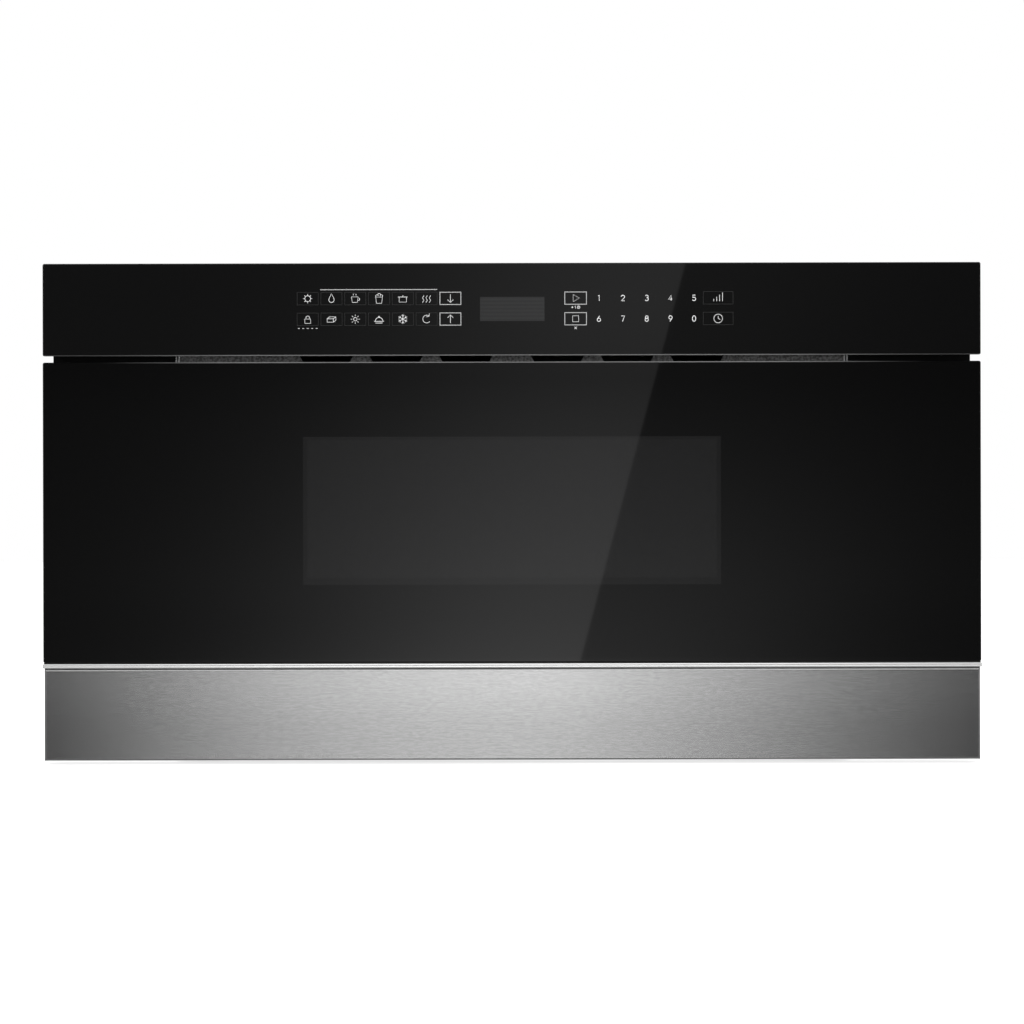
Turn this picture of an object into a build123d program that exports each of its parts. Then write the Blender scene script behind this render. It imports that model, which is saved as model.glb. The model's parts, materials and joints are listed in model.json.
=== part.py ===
from build123d import *
import math
import os

# A 30-inch microwave drawer for a built-in opening, piece by piece. Millimetres.
# X runs to the viewer's right, Y from the front to the rear and Z up from the shelf it stands on.
# While the pieces are drawn, Y is 0 at the frontmost edge of the trim. They are written out with the
# origin at the middle of the footprint.

# ---- Overall ----
DEPTH = 595.0  # trim to the tip of the cord gland
GLAND_PROUD = 6.0  # cord gland behind the rear panel
FOOT_HEIGHT = 4.0
LOWER_BAY = 93.0  # base pan to cavity liner: waveguide and drive
SIDE_BAY = 55.0  # cavity to the casing's outside: slides and switches
BOARD_BAY = 33.0  # duct to top cover: power board
SHEET = 1.0  # casing and cavity sheet
FOLD = 12.0  # folded edges of the casing

# ---- Front: heights from the bottom up ----
FRONT_WIDTH = 758.8
FRONT_BOTTOM = 3.0
BAND_HEIGHT = 74.0
BAND_GAP = 0.8
TRIM_HEIGHT = 3.4
GLASS_GAP = 1.0
DOOR_LAP = 28.9  # door glass above the cavity's ceiling
VENT_GAP = 5.1
PANEL_GLASS_HEIGHT = 74.8

# ---- Front: skins ----
GLASS_THICK = 4.0
GLASS_CORNER = 1.5
GLASS_CHAMFER = 0.6
TRIM_PROUD = 1.0
TRIM_OVERHANG = 0.5
TRIM_HEAD = 6.0  # depth of the trim's visible head
TRIM_TONGUE = 2.2  # thickness of the tongue behind it
BAND_INSET = 0.9
BAND_SHEET = 1.2
BAND_BEND = 1.8
BAND_RETURN = 24.0  # depth of the band's folded edges
WINDOW_WIDTH = 338.0
WINDOW_HEIGHT = 119.7
WINDOW_RISE = 31.6  # from the cavity floor
WINDOW_LAP = 8.0  # screen and pane lap round the window
SCREEN_SHEET = 0.8
PANE_THICK = 2.0

# ---- Drawer front body ----
DOOR_BODY_DEPTH = 29.0
DOOR_WALL = 2.5
DOOR_INSET = 2.8  # moulded body inside the glass edge
DOOR_GAP = 2.0  # closed drawer to flange
SEAL_WIDTH = 20.0  # microwave choke round the cavity
CHOKE_INSET = 2.0
CHOKE_DEPTH = 18.0
CHOKE_COVER_THICK = 1.5
BUMPER_RADIUS = 6.0
BUMPER_PLAY = 0.3
BOSS_RADIUS = 4.5
BOSS_INSET = 7.5  # boss centre inside the wall
DOOR_SCREW_REACH = 4.5

# ---- Flange and its openings ----
FLANGE_INSET = 4.4  # flange inside the front's side edges
FLANGE_RISE = 9.0  # flange above the front's lower edge
FLANGE_DROP = 9.1  # flange below the panel's upper edge
FLANGE_SHEET = 1.5
MOUNT_INSET = 9.0  # mounting holes from the flange's side edge
MOUNT_FROM_BOTTOM = 48.0  # lower holes from the flange's lower edge
MOUNT_FROM_TOP = 96.0  # upper holes from the flange's upper edge
MOUNT_HOLE = 2.5  # radius
VENT_OPENING_BELOW = 20.2  # below the door glass's upper edge
VENT_OPENING_ABOVE = 2.4  # above the panel's lower edge
VENT_SLOT_COUNT = 3  # in each group
VENT_SLOT_WIDTH = 44.0  # along its upper edge
VENT_SLOT_HEIGHT = 12.0
VENT_SLOT_PITCH = 57.1
VENT_SLOT_SLANT = 6.5  # of each end, over the slot's height
VENT_GROUP_CENTRE = 94.6
VENT_SLOT_MARGIN = 0.7  # below the opening's upper edge
HARNESS_HALF = 60.0
HARNESS_RISE = 14.7  # above the panel's lower edge
HARNESS_HEIGHT = 13.0

# ---- Cavity ----
CAVITY_WIDTH = 440.0
CAVITY_HEIGHT = 183.0
CERAMIC_THICK = 4.0
CERAMIC_PLAY = 1.0
ANTENNA_WELL = 10.3
LEDGE_WIDTH = 8.0
DUCT_OVER_PANEL = 3.7  # duct above the panel's lower edge
DUCT_PLAY = 1.2
AIR_HOLE = 2.0  # radius of the air perforations
AIR_PITCH = 8.0
AIR_IN_TO_BACK = 60.0
AIR_IN_DROP = 40.0
AIR_OUT_TO_FRONT = 60.0

# ---- Basket ----
BASKET_SIDE_PLAY = 6.0
BASKET_REAR_PLAY = 18.0
BASKET_LIFT = 3.0
BASKET_WALL = 2.5
BASKET_HEADROOM = 34.3  # basket's rim below the cavity's ceiling
BASKET_SILL = 23.7
BASKET_CORNER = 20.0
BASKET_FOOT_BEND = 6.0
BASKET_LIP = 3.0
TRAY_THICK = 4.0
TRAY_PLAY = 3.5
TRAY_CHAMFER = 1.0
TRAVEL_SHORT = 23.0  # of the basket that stays behind the front when open

# ---- Telescopic slides ----
RAIL_RISE = 36.7  # slide centre above the cavity floor
RAIL_HEIGHT = 45.0
RAIL_WIDTH = 12.7
RAIL_OVER_TRAVEL = 65.0  # slide length beyond the travel
RAIL_SHEET = 1.2
RAIL_WEB_PLAY = 0.4
RAIL_TIP_PLAY = 1.4
BALL = 3.0
BALL_PLAY = 0.2
BALL_COUNT = 8  # in each strip of a cage
BALL_PITCH = 12.0
CAGE_SHEET = 1.2
CAGE_WIDTH = 4.0
CAGE_MARGIN = 15.0  # open cage to the rail's front end
MIDDLE_RAIL_BACK = 2.0  # middle rail behind the others' front ends
MIDDLE_RAIL_SHORT = 6.0
INNER_RAIL_SHORT = 10.0
ARM_SHEET = 2.0
ARM_LENGTH = 160.0
ARM_HEIGHT = 36.0
ARM_TAB_HEIGHT = 60.0
ARM_TAB_WIDTH = 12.3
ARM_HOLE = 3.0  # radius
ARM_HOLE_START = 40.0
ARM_HOLE_END = 20.0
ARM_HOLE_COUNT = 3
SLIDE_OPENING_PLAY = 2.0

# ---- Rack drive ----
BEAM_X = 132.0
BEAM_WIDTH = 24.0
BEAM_HEIGHT = 12.0
BEAM_DROP = 14.0  # beam below the cavity liner
BEAM_SHEET = 2.0
BEAM_OPENING_PLAY = 1.5
RACK_SPARE_TEETH = 3  # beyond the travel, at each end
RACK_WIDTH = 12.0
RACK_HEIGHT = 18.0
RACK_MODULE = 1.5
PINION_TEETH = 18
PINION_WIDTH = 16.0
PINION_Y = 68.0
GEAR_MODULE = 1.0
OUTPUT_TEETH = 50
IDLER_SMALL_TEETH = 18
IDLER_LARGE_TEETH = 45
MOTOR_TEETH = 18
GEAR_WIDTH = 6.0
GEAR_SIDE_PLAY = 3.0
PRESSURE_ANGLE = 20.0
ADDENDUM = 0.9  # in modules
DEDENDUM = 1.25  # in modules
BACKLASH = 0.2
FLANK_STEPS = 3
IDLER_ANGLE = -20.0  # from the output shaft, below the level
MOTOR_ANGLE = -5.0  # from the idler shaft
OUTPUT_SHAFT = 4.0  # radius
IDLER_SHAFT = 3.0  # radius
MOTOR_SHAFT = 2.5  # radius
BEARING_PLAY = 0.05
GEARBOX_SHEET = 3.0
GEARBOX_BASE = 2.0
GEARBOX_RIM = 23.0  # plate beyond the outer shafts
MOTOR_END_CAP = 4.0
GUIDE_PLAY = 0.5
GUIDE_HEIGHT = 7.0
DRIVE_MOTOR_RADIUS = 18.0
DRIVE_MOTOR_LENGTH = 50.0

# ---- Door switches ----
SWITCH_INSET = 14.0  # from the side panel
SWITCH_DROP = 16.3  # below the cavity's ceiling
STRIKER_RADIUS = 3.0
STRIKER_FOOT = 8.0  # radius
STRIKER_LENGTH = 26.0
STRIKER_PLAY = 0.3
PLUNGER_RADIUS = 3.5
PLUNGER_HEAD = 5.0  # radius
PLUNGER_HEAD_THICK = 2.0
PLUNGER_LENGTH = 18.0
PLUNGER_STROKE = 3.0
SWITCH_SIZE = 20.0
SWITCH_LENGTH = 34.0
SWITCH_BRACKET = 2.0
SWITCH_BRACKET_INSET = 4.0
BLADE_SHEET = 0.8
BLADE_WIDTH = 6.0
BLADE_LENGTH = 9.0

# ---- Microwave feed ----
GUIDE_WIDTH = 90.0
GUIDE_DEEP = 34.0
GUIDE_WALL = 1.2
GUIDE_FRONT_MARGIN = 48.0
ANTENNA_RADIUS = 90.0
ANTENNA_SHEET = 1.5
ANTENNA_SHAFT = 4.0  # radius
ANTENNA_RISE = 2.5  # disc above the liner floor
COUPLING_HOLE = 14.0  # radius
ANTENNA_MOTOR_RADIUS = 25.0
ANTENNA_MOTOR_HEIGHT = 18.0
MOTOR_EAR_SHEET = 1.5
MOTOR_EAR_WIDTH = 14.0
ROTOR_SPOKE = 10.0
MAGNETRON_WIDTH = 88.0
MAGNETRON_LENGTH = 76.0
MAGNETRON_HEIGHT = 82.0
MAGNETRON_FIN_COUNT = 9
MAGNETRON_FIN_SHEET = 1.0
MAGNETRON_ANODE = 22.0  # radius
MAGNETRON_DOME = 9.0  # radius
MAGNETRON_FILTER = 26.0  # height of the filter box

# ---- Cooling fan ----
FAN_X = -97.0
FAN_RISE = 160.0  # fan centre above the base pan
FAN_SIZE = 118.0
FAN_PLAY = 4.5  # fan to liner and to rear panel
FAN_DEPTH = 38.0
FAN_BORE = 56.0  # radius
FAN_BLADE_PLAY = 3.0
FAN_BLADE_COUNT = 7
FAN_BLADE_SHEET = 1.8
FAN_BLADE_ANGLE = 38.0
FAN_HUB = 19.0  # radius
FAN_SHAFT = 2.0  # radius
FAN_STRUT = 3.0  # thickness, and half the width
FAN_CORNER = 6.0
FAN_END_PLAY = 1.0
FAN_MOTOR_LENGTH = 17.0
BAFFLE_SHEET = 2.0
BAFFLE_DROP = 1.3  # below the duct

# ---- Electrical parts in the rear and above the duct ----
TRANSFORMER_INSET = 90.0  # from the side panel
TRANSFORMER_WIDTH = 92.0
TRANSFORMER_DEPTH = 62.0
TRANSFORMER_HEIGHT = 84.0
TRANSFORMER_PLATE = 2.0
TRANSFORMER_LUG = 8.0
WINDING_CORNER = 14.0
CAPACITOR_INSET = 66.0  # from the side panel
CAPACITOR_HEIGHT = 100.0
CAPACITOR_WIDTH = 34.0
CAPACITOR_LENGTH = 54.0
TERMINAL_RADIUS = 4.0
TERMINAL_HEIGHT = 5.0
BOARD_SHEET = 1.6
POWER_BOARD_X = 130.0
POWER_BOARD_TO_BACK = 110.0  # board centre ahead of the cavity's back
POWER_BOARD_WIDTH = 170.0
POWER_BOARD_DEPTH = 110.0
BOARD_MARGIN = 20.0
RELAY_COUNT = 4
RELAY_WIDTH = 16.0
RELAY_DEPTH = 28.0
RELAY_HEIGHT = 15.0
SUPPLY_CHOKE_WIDTH = 44.0
SUPPLY_CHOKE_DEPTH = 38.0
SUPPLY_CHOKE_HEIGHT = 17.0
CAP_COUNT = 3
CAP_RADIUS = 7.0
CAP_HEIGHT = 16.0
STANDOFF = 6.0
STANDOFF_RADIUS = 3.0
LAMP_TO_BACK = 130.0
LAMP_DROP = 46.3
LAMP_SIZE = 34.0
LAMP_SOCKET = 8.0  # radius and depth
BULB_RADIUS = 6.0
CUTOUT_RADIUS = 9.0
CUTOUT_HEIGHT = 12.0
CUTOUT_EAR = 15.0  # half length of the fixing ears
CUTOUT_EAR_WIDTH = 10.0
CUTOUT_BLADE_PITCH = 11.0
CUTOUT_TO_BACK = 70.0
CUTOUT_DROP = 56.3
GLAND_INSET = 50.0  # from the casing's side
GLAND_RISE = 35.0  # above the base pan
GLAND_RADIUS = 9.0
GLAND_RIM = 13.0  # radius
GLAND_BORE = 4.5  # radius
GLAND_INSIDE = 14.0

# ---- Control panel ----
PANEL_INSET = 1.8  # housing inside the panel glass edge
PANEL_WALL = 2.5
DISPLAY_WIDTH = 60.0
DISPLAY_HEIGHT = 26.0
DISPLAY_DEPTH = 8.0
TOUCH_WIDTH = 400.0
TOUCH_HEIGHT = 56.0
TOUCH_SHEET = 1.0
TOUCH_PLAY = 1.0
CONTROL_WIDTH = 300.0
CONTROL_HEIGHT = 52.0
CONTROL_Y = 22.0
CONTROL_POST = 3.0  # radius
CHIP_COUNT = 5
CHIP_WIDTH = 18.0
CHIP_LENGTH = 12.0
CHIP_HEIGHT = 5.0
BUTTON_CAP_COUNT = 4
DISPLAY_PIN_COUNT = 9
PIN_PITCH = 5.0
PIN = 1.0

# ---- Casing details ----
SCREW_HEAD = 3.6  # radius
SCREW_HEAD_THICK = 1.8
SCREW_SHANK = 1.6  # radius
SCREW_LENGTH = 5.0
SCREW_PLAY = 0.2
SCREW_SLOT = 0.9
SCREW_FRONT = 60.0  # first screw of a row
SCREW_REAR = 30.0  # last screw of a row, ahead of the rear panel
LOUVRE_LENGTH = 34.0
LOUVRE_WIDTH = 4.0
LOUVRE_PITCH = 9.0
LOUVRE_COUNT = 12
FOOT_LENGTH = 60.0
FOOT_WIDTH = 24.0
FOOT_CHAMFER = 1.0
FOOT_MARGIN = 12.5  # foot to the flange and to the rear panel
RIB_WIDTH = 10.0
RIB_HEIGHT = 1.5
RIB_COUNT = 4

# ---- Planes and lines that follow ----
GLASS_FACE = TRIM_PROUD
GLASS_BACK = GLASS_FACE + GLASS_THICK
DOOR_BACK = GLASS_BACK + DOOR_BODY_DEPTH
FLANGE_FACE = DOOR_BACK + DOOR_GAP
FLANGE_BACK = FLANGE_FACE + FLANGE_SHEET
REAR_FACE = DEPTH - GLAND_PROUD
REAR_INSIDE = REAR_FACE - SHEET
REAR_BAY = FAN_SIZE + 2 * FAN_PLAY
LINER_BACK = REAR_INSIDE - REAR_BAY
CAVITY_BACK = LINER_BACK - SHEET
CAVITY_MIDDLE = (FLANGE_BACK + CAVITY_BACK) / 2
BAY_MIDDLE = LINER_BACK + REAR_BAY / 2

PAN_FLOOR = FOOT_HEIGHT + SHEET
LINER_BOTTOM = PAN_FLOOR + LOWER_BAY
LINER_FLOOR = LINER_BOTTOM + SHEET
CERAMIC_BOTTOM = LINER_FLOOR + ANTENNA_WELL
CAVITY_FLOOR = CERAMIC_BOTTOM + CERAMIC_THICK
CAVITY_TOP = CAVITY_FLOOR + CAVITY_HEIGHT
LINER_TOP = CAVITY_TOP + SHEET

BAND_TOP = FRONT_BOTTOM + BAND_HEIGHT
TRIM_BOTTOM = BAND_TOP + BAND_GAP
DOOR_GLASS_BOTTOM = TRIM_BOTTOM + TRIM_HEIGHT + GLASS_GAP
DOOR_GLASS_TOP = CAVITY_TOP + DOOR_LAP
PANEL_BOTTOM = DOOR_GLASS_TOP + VENT_GAP
PANEL_TOP = PANEL_BOTTOM + PANEL_GLASS_HEIGHT
WINDOW_BOTTOM = CAVITY_FLOOR + WINDOW_RISE
WINDOW_TOP = WINDOW_BOTTOM + WINDOW_HEIGHT

DUCT_TOP = PANEL_BOTTOM + DUCT_OVER_PANEL
COVER_BOTTOM = DUCT_TOP + BOARD_BAY
BODY_TOP = COVER_BOTTOM + SHEET

CAVITY_HALF = CAVITY_WIDTH / 2
LINER_HALF = CAVITY_HALF + SHEET
SEAL_HALF = CAVITY_HALF + SEAL_WIDTH
BODY_HALF = CAVITY_HALF + SIDE_BAY
SIDE_INSIDE = BODY_HALF - SHEET
DUCT_HALF = SIDE_INSIDE - DUCT_PLAY

FRAME_HALF = FRONT_WIDTH / 2 - DOOR_INSET
FRAME_BOTTOM = FRONT_BOTTOM + DOOR_INSET
FRAME_TOP = DOOR_GLASS_TOP - DOOR_INSET
FRAME_STEP = GLASS_FACE + BAND_RETURN
FRAME_BACK = DOOR_BACK - SHEET

FLANGE_HALF = FRONT_WIDTH / 2 - FLANGE_INSET
FLANGE_BOTTOM = FRONT_BOTTOM + FLANGE_RISE
FLANGE_TOP = PANEL_TOP - FLANGE_DROP
VENT_OPENING_BOTTOM = DOOR_GLASS_TOP - VENT_OPENING_BELOW
VENT_OPENING_TOP = PANEL_BOTTOM + VENT_OPENING_ABOVE
HARNESS_BOTTOM = PANEL_BOTTOM + HARNESS_RISE
HARNESS_TOP = HARNESS_BOTTOM + HARNESS_HEIGHT

BASKET_HALF = CAVITY_HALF - BASKET_SIDE_PLAY
BASKET_BACK = CAVITY_BACK - BASKET_REAR_PLAY
BASKET_BOTTOM = CAVITY_FLOOR + BASKET_LIFT
BASKET_TOP = CAVITY_TOP - BASKET_HEADROOM
TRAVEL = BASKET_BACK - DOOR_BACK - TRAVEL_SHORT

RAIL_Z = CAVITY_FLOOR + RAIL_RISE
RAIL_LENGTH = TRAVEL + RAIL_OVER_TRAVEL
RAIL_INSIDE = SIDE_INSIDE - RAIL_WIDTH
RAIL_HALF = RAIL_HEIGHT / 2
RACE = BALL + 2 * BALL_PLAY
MIDDLE_HALF = RAIL_HALF - RAIL_SHEET - RACE
INNER_HALF = MIDDLE_HALF - RAIL_SHEET - RACE
MIDDLE_WEB = SIDE_INSIDE - RAIL_SHEET - RAIL_WEB_PLAY
RAIL_TIP = RAIL_INSIDE + 2 * RAIL_SHEET
RAIL_FRONT = FLANGE_BACK + BALL_PLAY
RAIL_MIDDLE = RAIL_FRONT + RAIL_LENGTH / 2
CAGE_HALF = BALL_COUNT * BALL_PITCH / 2 + BALL
OUTER_CAGE_Y = RAIL_FRONT + TRAVEL / 4 + CAGE_HALF + CAGE_MARGIN

BEAM_TOP = LINER_BOTTOM - BEAM_DROP
BEAM_LEFT = BEAM_X - BEAM_WIDTH / 2
BEAM_RIGHT = BEAM_X + BEAM_WIDTH / 2
RACK_TIP = BEAM_TOP - BEAM_SHEET - RACK_HEIGHT
RACK_PITCH_LINE = RACK_TIP + ADDENDUM * RACK_MODULE
TOOTH_PITCH = math.pi * RACK_MODULE
RACK_START = PINION_Y - RACK_SPARE_TEETH * TOOTH_PITCH
RACK_END = PINION_Y + TRAVEL + RACK_SPARE_TEETH * TOOTH_PITCH
OUTPUT_Z = RACK_PITCH_LINE - PINION_TEETH * RACK_MODULE / 2
IDLER_SPAN = (OUTPUT_TEETH + IDLER_SMALL_TEETH) * GEAR_MODULE / 2
IDLER_Y = PINION_Y + IDLER_SPAN * math.cos(math.radians(IDLER_ANGLE))
IDLER_Z = OUTPUT_Z + IDLER_SPAN * math.sin(math.radians(IDLER_ANGLE))
MOTOR_SPAN = (IDLER_LARGE_TEETH + MOTOR_TEETH) * GEAR_MODULE / 2
MOTOR_Y = IDLER_Y + MOTOR_SPAN * math.cos(math.radians(MOTOR_ANGLE))
MOTOR_Z = IDLER_Z + MOTOR_SPAN * math.sin(math.radians(MOTOR_ANGLE))
GEAR_X = BEAM_RIGHT + GEAR_SIDE_PLAY
SECOND_GEAR_X = GEAR_X + GEAR_WIDTH + GEAR_SIDE_PLAY
GEARBOX_LEFT = BEAM_LEFT - GEAR_SIDE_PLAY - GEARBOX_SHEET
GEARBOX_RIGHT = SECOND_GEAR_X + GEAR_WIDTH + GEAR_SIDE_PLAY
MOTOR_FACE = GEARBOX_RIGHT + GEARBOX_SHEET
GEARBOX_FLOOR = PAN_FLOOR + GEARBOX_BASE

SWITCH_X = SIDE_INSIDE - SWITCH_INSET
SWITCH_Z = CAVITY_TOP - SWITCH_DROP
STRIKER_TIP = DOOR_BACK + STRIKER_LENGTH
PLUNGER_FRONT = STRIKER_TIP + STRIKER_PLAY
PLUNGER_BACK = PLUNGER_FRONT + PLUNGER_LENGTH
SWITCH_FRONT = PLUNGER_FRONT + PLUNGER_HEAD_THICK + PLUNGER_STROKE + STRIKER_PLAY

GUIDE_BOTTOM = LINER_BOTTOM - GUIDE_DEEP
GUIDE_FRONT = CAVITY_MIDDLE - GUIDE_FRONT_MARGIN
GUIDE_REAR = BAY_MIDDLE + MAGNETRON_LENGTH / 2
MAGNETRON_TOP = LINER_BOTTOM + MAGNETRON_HEIGHT

FAN_Z = PAN_FLOOR + FAN_RISE
FAN_FRONT = FAN_X - FAN_DEPTH / 2
FAN_EXIT = FAN_X + FAN_DEPTH / 2
FAN_STRUT_FACE = FAN_EXIT - FAN_STRUT
LAMP_Y = CAVITY_BACK - LAMP_TO_BACK
LAMP_Z = CAVITY_TOP - LAMP_DROP
CUTOUT_Y = CAVITY_BACK - CUTOUT_TO_BACK
CUTOUT_Z = CAVITY_TOP - CUTOUT_DROP
POWER_BOARD_Y = CAVITY_BACK - POWER_BOARD_TO_BACK
BAFFLE_TOP = LINER_TOP - BAFFLE_DROP
TRANSFORMER_X = SIDE_INSIDE - TRANSFORMER_INSET
CAPACITOR_X = -(SIDE_INSIDE - CAPACITOR_INSET)
GLAND_X = -(BODY_HALF - GLAND_INSET)
GLAND_Z = PAN_FLOOR + GLAND_RISE

PANEL_HALF = FRONT_WIDTH / 2 - PANEL_INSET
PANEL_HOUSING_BOTTOM = PANEL_BOTTOM + PANEL_INSET
PANEL_HOUSING_TOP = PANEL_TOP - PANEL_INSET
PANEL_BACK_WALL = FLANGE_FACE - PANEL_WALL
PANEL_MIDDLE = (PANEL_BOTTOM + PANEL_TOP) / 2
DISPLAY_BACK = GLASS_BACK + DISPLAY_DEPTH


# ---- Solids between planes and round axes ----
def block(x0, x1, y0, y1, z0, z1):
    return Pos((x0 + x1) / 2, (y0 + y1) / 2, (z0 + z1) / 2) * Box(x1 - x0, y1 - y0, z1 - z0)


def centred(half_width, y0, y1, z0, z1):
    return block(-half_width, half_width, y0, y1, z0, z1)


def round_x(radius, x0, x1, y, z):
    return Pos((x0 + x1) / 2, y, z) * Rot(0, 90, 0) * Cylinder(radius, x1 - x0)


def round_y(radius, y0, y1, x, z):
    return Pos(x, (y0 + y1) / 2, z) * Rot(90, 0, 0) * Cylinder(radius, y1 - y0)


def round_z(radius, z0, z1, x, y):
    return Pos(x, y, (z0 + z1) / 2) * Cylinder(radius, z1 - z0)


def both_sides(shape):
    return [shape, mirror(shape, Plane.YZ)]


def group(shapes):
    return Compound([solid for shape in shapes for solid in shape.solids()])


def spread(first, last, count):
    """Evenly spaced places from first to last."""
    return [first + (last - first) * step / (count - 1) for step in range(count)]


def row(centre, pitch, count):
    """Evenly pitched places about a centre."""
    return [centre + pitch * (step - (count - 1) / 2) for step in range(count)]


# ---- Screws: head, slot and shank, and the holes they need ----
def screw(reach=SCREW_LENGTH):
    """A pan-head screw standing on the XY plane with its shank below it."""
    head = Pos(0, 0, SCREW_HEAD_THICK / 2) * Cylinder(SCREW_HEAD, SCREW_HEAD_THICK)
    head = fillet(head.edges().sort_by(Axis.Z)[-1:], SCREW_HEAD_THICK / 2)
    slots = Pos(0, 0, SCREW_HEAD_THICK) * Box(SCREW_HEAD * 1.2, SCREW_SLOT, SCREW_SLOT * 1.5)
    slots += Rot(0, 0, 90) * slots
    return head - slots + Pos(0, 0, -reach / 2) * Cylinder(SCREW_SHANK, reach)


def screw_hole(reach=SCREW_LENGTH):
    depth = 2 * (reach + SCREW_PLAY)
    return Cylinder(SCREW_SHANK + SCREW_PLAY, depth)


def upward(x, y):
    return Pos(x, y, BODY_TOP)


def rearward(x, z):
    return Pos(x, REAR_FACE, z) * Rot(-90, 0, 0)


def sideward(side, y, z):
    return Pos(side * BODY_HALF, y, z) * Rot(0, 90 * side, 0)


FOLD_SCREW_X = SIDE_INSIDE - FOLD / 2
SCREW_BACK = REAR_FACE - SCREW_REAR
REAR_SCREW_TOP = COVER_BOTTOM - 2 * FOLD
TOP_SCREWS = [upward(side * FOLD_SCREW_X, y) for side in (-1, 1) for y in spread(SCREW_FRONT, SCREW_BACK, 5)]
REAR_SCREWS = [
    rearward(side * FOLD_SCREW_X, z) for side in (-1, 1) for z in spread(SCREW_FRONT, REAR_SCREW_TOP, 4)
]
SIDE_SCREWS = [
    sideward(side, y, FOOT_HEIGHT + FOLD) for side in (-1, 1) for y in spread(SCREW_FRONT, SCREW_BACK, 4)
]


def holes(places, reach=SCREW_LENGTH):
    return [place * screw_hole(reach) for place in places]


def case_screws():
    return group([place * screw() for place in TOP_SCREWS + REAR_SCREWS + SIDE_SCREWS])


# ---- Casing ----
def louvre(length=LOUVRE_LENGTH):
    """A round-ended cutter along X, tall enough for any casing sheet."""
    return extrude(SlotOverall(length, LOUVRE_WIDTH), 4 * SHEET, both=True)


def base_pan():
    pan = centred(SIDE_INSIDE, FLANGE_BACK, REAR_INSIDE, FOOT_HEIGHT, FOOT_HEIGHT + 2 * FOLD)
    inside = centred(SIDE_INSIDE - SHEET, FLANGE_BACK + SHEET, REAR_INSIDE - SHEET, PAN_FLOOR, BODY_TOP)
    intake = [
        Pos(x, y, FOOT_HEIGHT) * Rot(0, 0, 90) * louvre()
        for x in row(FAN_X - FAN_DEPTH * 2, LOUVRE_PITCH, LOUVRE_COUNT // 2)
        for y in (CAVITY_BACK + LOUVRE_LENGTH, CAVITY_BACK + 2.5 * LOUVRE_LENGTH)
    ]
    return pan - inside - intake - holes(SIDE_SCREWS)


def base_feet():
    foot_x = SIDE_INSIDE - FOOT_WIDTH
    reach = FOOT_LENGTH / 2 + FOOT_MARGIN
    places = [(x, y) for x in (-foot_x, foot_x) for y in spread(FLANGE_BACK + reach, REAR_INSIDE - reach, 3)]
    foot = block(-FOOT_WIDTH / 2, FOOT_WIDTH / 2, -FOOT_LENGTH / 2, FOOT_LENGTH / 2, 0, FOOT_HEIGHT)
    foot = chamfer(foot.faces().sort_by(Axis.Z)[0].edges(), FOOT_CHAMFER)
    return group([Pos(x, y, 0) * foot for x, y in places])


def side_panel():
    """The right side panel; the left one is its mirror image."""
    wall = block(SIDE_INSIDE, BODY_HALF, FLANGE_BACK, REAR_INSIDE, FOOT_HEIGHT, COVER_BOTTOM)
    fold_edge = SIDE_INSIDE - FOLD
    top = COVER_BOTTOM - SHEET
    top_fold = block(fold_edge, SIDE_INSIDE, FLANGE_BACK, REAR_INSIDE, top, COVER_BOTTOM)
    bottom = FOOT_HEIGHT + 2 * FOLD + SHEET
    rear_fold = block(fold_edge, SIDE_INSIDE, REAR_INSIDE - SHEET, REAR_INSIDE, bottom, top)
    outlets = [
        Pos(BODY_HALF, y, z) * Rot(0, 0, 90) * Rot(90, 0, 0) * louvre()
        for y in (CAVITY_BACK + LOUVRE_LENGTH, CAVITY_BACK + 2.5 * LOUVRE_LENGTH)
        for z in row(FAN_Z + LOUVRE_PITCH * 6, LOUVRE_PITCH, LOUVRE_COUNT)
    ]
    return wall + top_fold + rear_fold - outlets - holes(TOP_SCREWS + REAR_SCREWS + SIDE_SCREWS)


def top_cover():
    cover = centred(BODY_HALF, FLANGE_BACK, REAR_FACE, COVER_BOTTOM, BODY_TOP)
    rib = extrude(SlotOverall((CAVITY_BACK - FLANGE_BACK) * 0.8, RIB_WIDTH), RIB_HEIGHT)
    for x in row(0, 2 * BODY_HALF / (RIB_COUNT + 1), RIB_COUNT):
        cover += Pos(x, CAVITY_MIDDLE, BODY_TOP) * Rot(0, 0, 90) * rib
    vents = [
        Pos(x, y, BODY_TOP) * Rot(0, 0, 90) * louvre()
        for x in row(0, LOUVRE_PITCH, LOUVRE_COUNT)
        for y in (BAY_MIDDLE - LOUVRE_LENGTH * 0.6, BAY_MIDDLE + LOUVRE_LENGTH * 0.6)
    ]
    return cover - vents - holes(TOP_SCREWS)


def rear_panel():
    panel = centred(BODY_HALF, REAR_INSIDE, REAR_FACE, FOOT_HEIGHT, COVER_BOTTOM)
    intake = [
        Pos(x, REAR_FACE, z) * Rot(90, 0, 0) * louvre()
        for x in row(FAN_X - FAN_DEPTH * 2, LOUVRE_LENGTH * 1.2, 2)
        for z in row(FAN_Z, LOUVRE_PITCH, LOUVRE_COUNT)
    ]
    outlet = [
        Pos(x, REAR_FACE, z) * Rot(90, 0, 0) * louvre()
        for x in row(MAGNETRON_WIDTH, LOUVRE_LENGTH * 1.2, 3)
        for z in row(LINER_TOP + LOUVRE_PITCH, LOUVRE_PITCH, LOUVRE_COUNT // 2)
    ]
    gland = round_y(GLAND_RADIUS, REAR_INSIDE - SHEET, REAR_FACE + SHEET, GLAND_X, GLAND_Z)
    return panel - intake - outlet - gland - holes(REAR_SCREWS)


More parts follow.
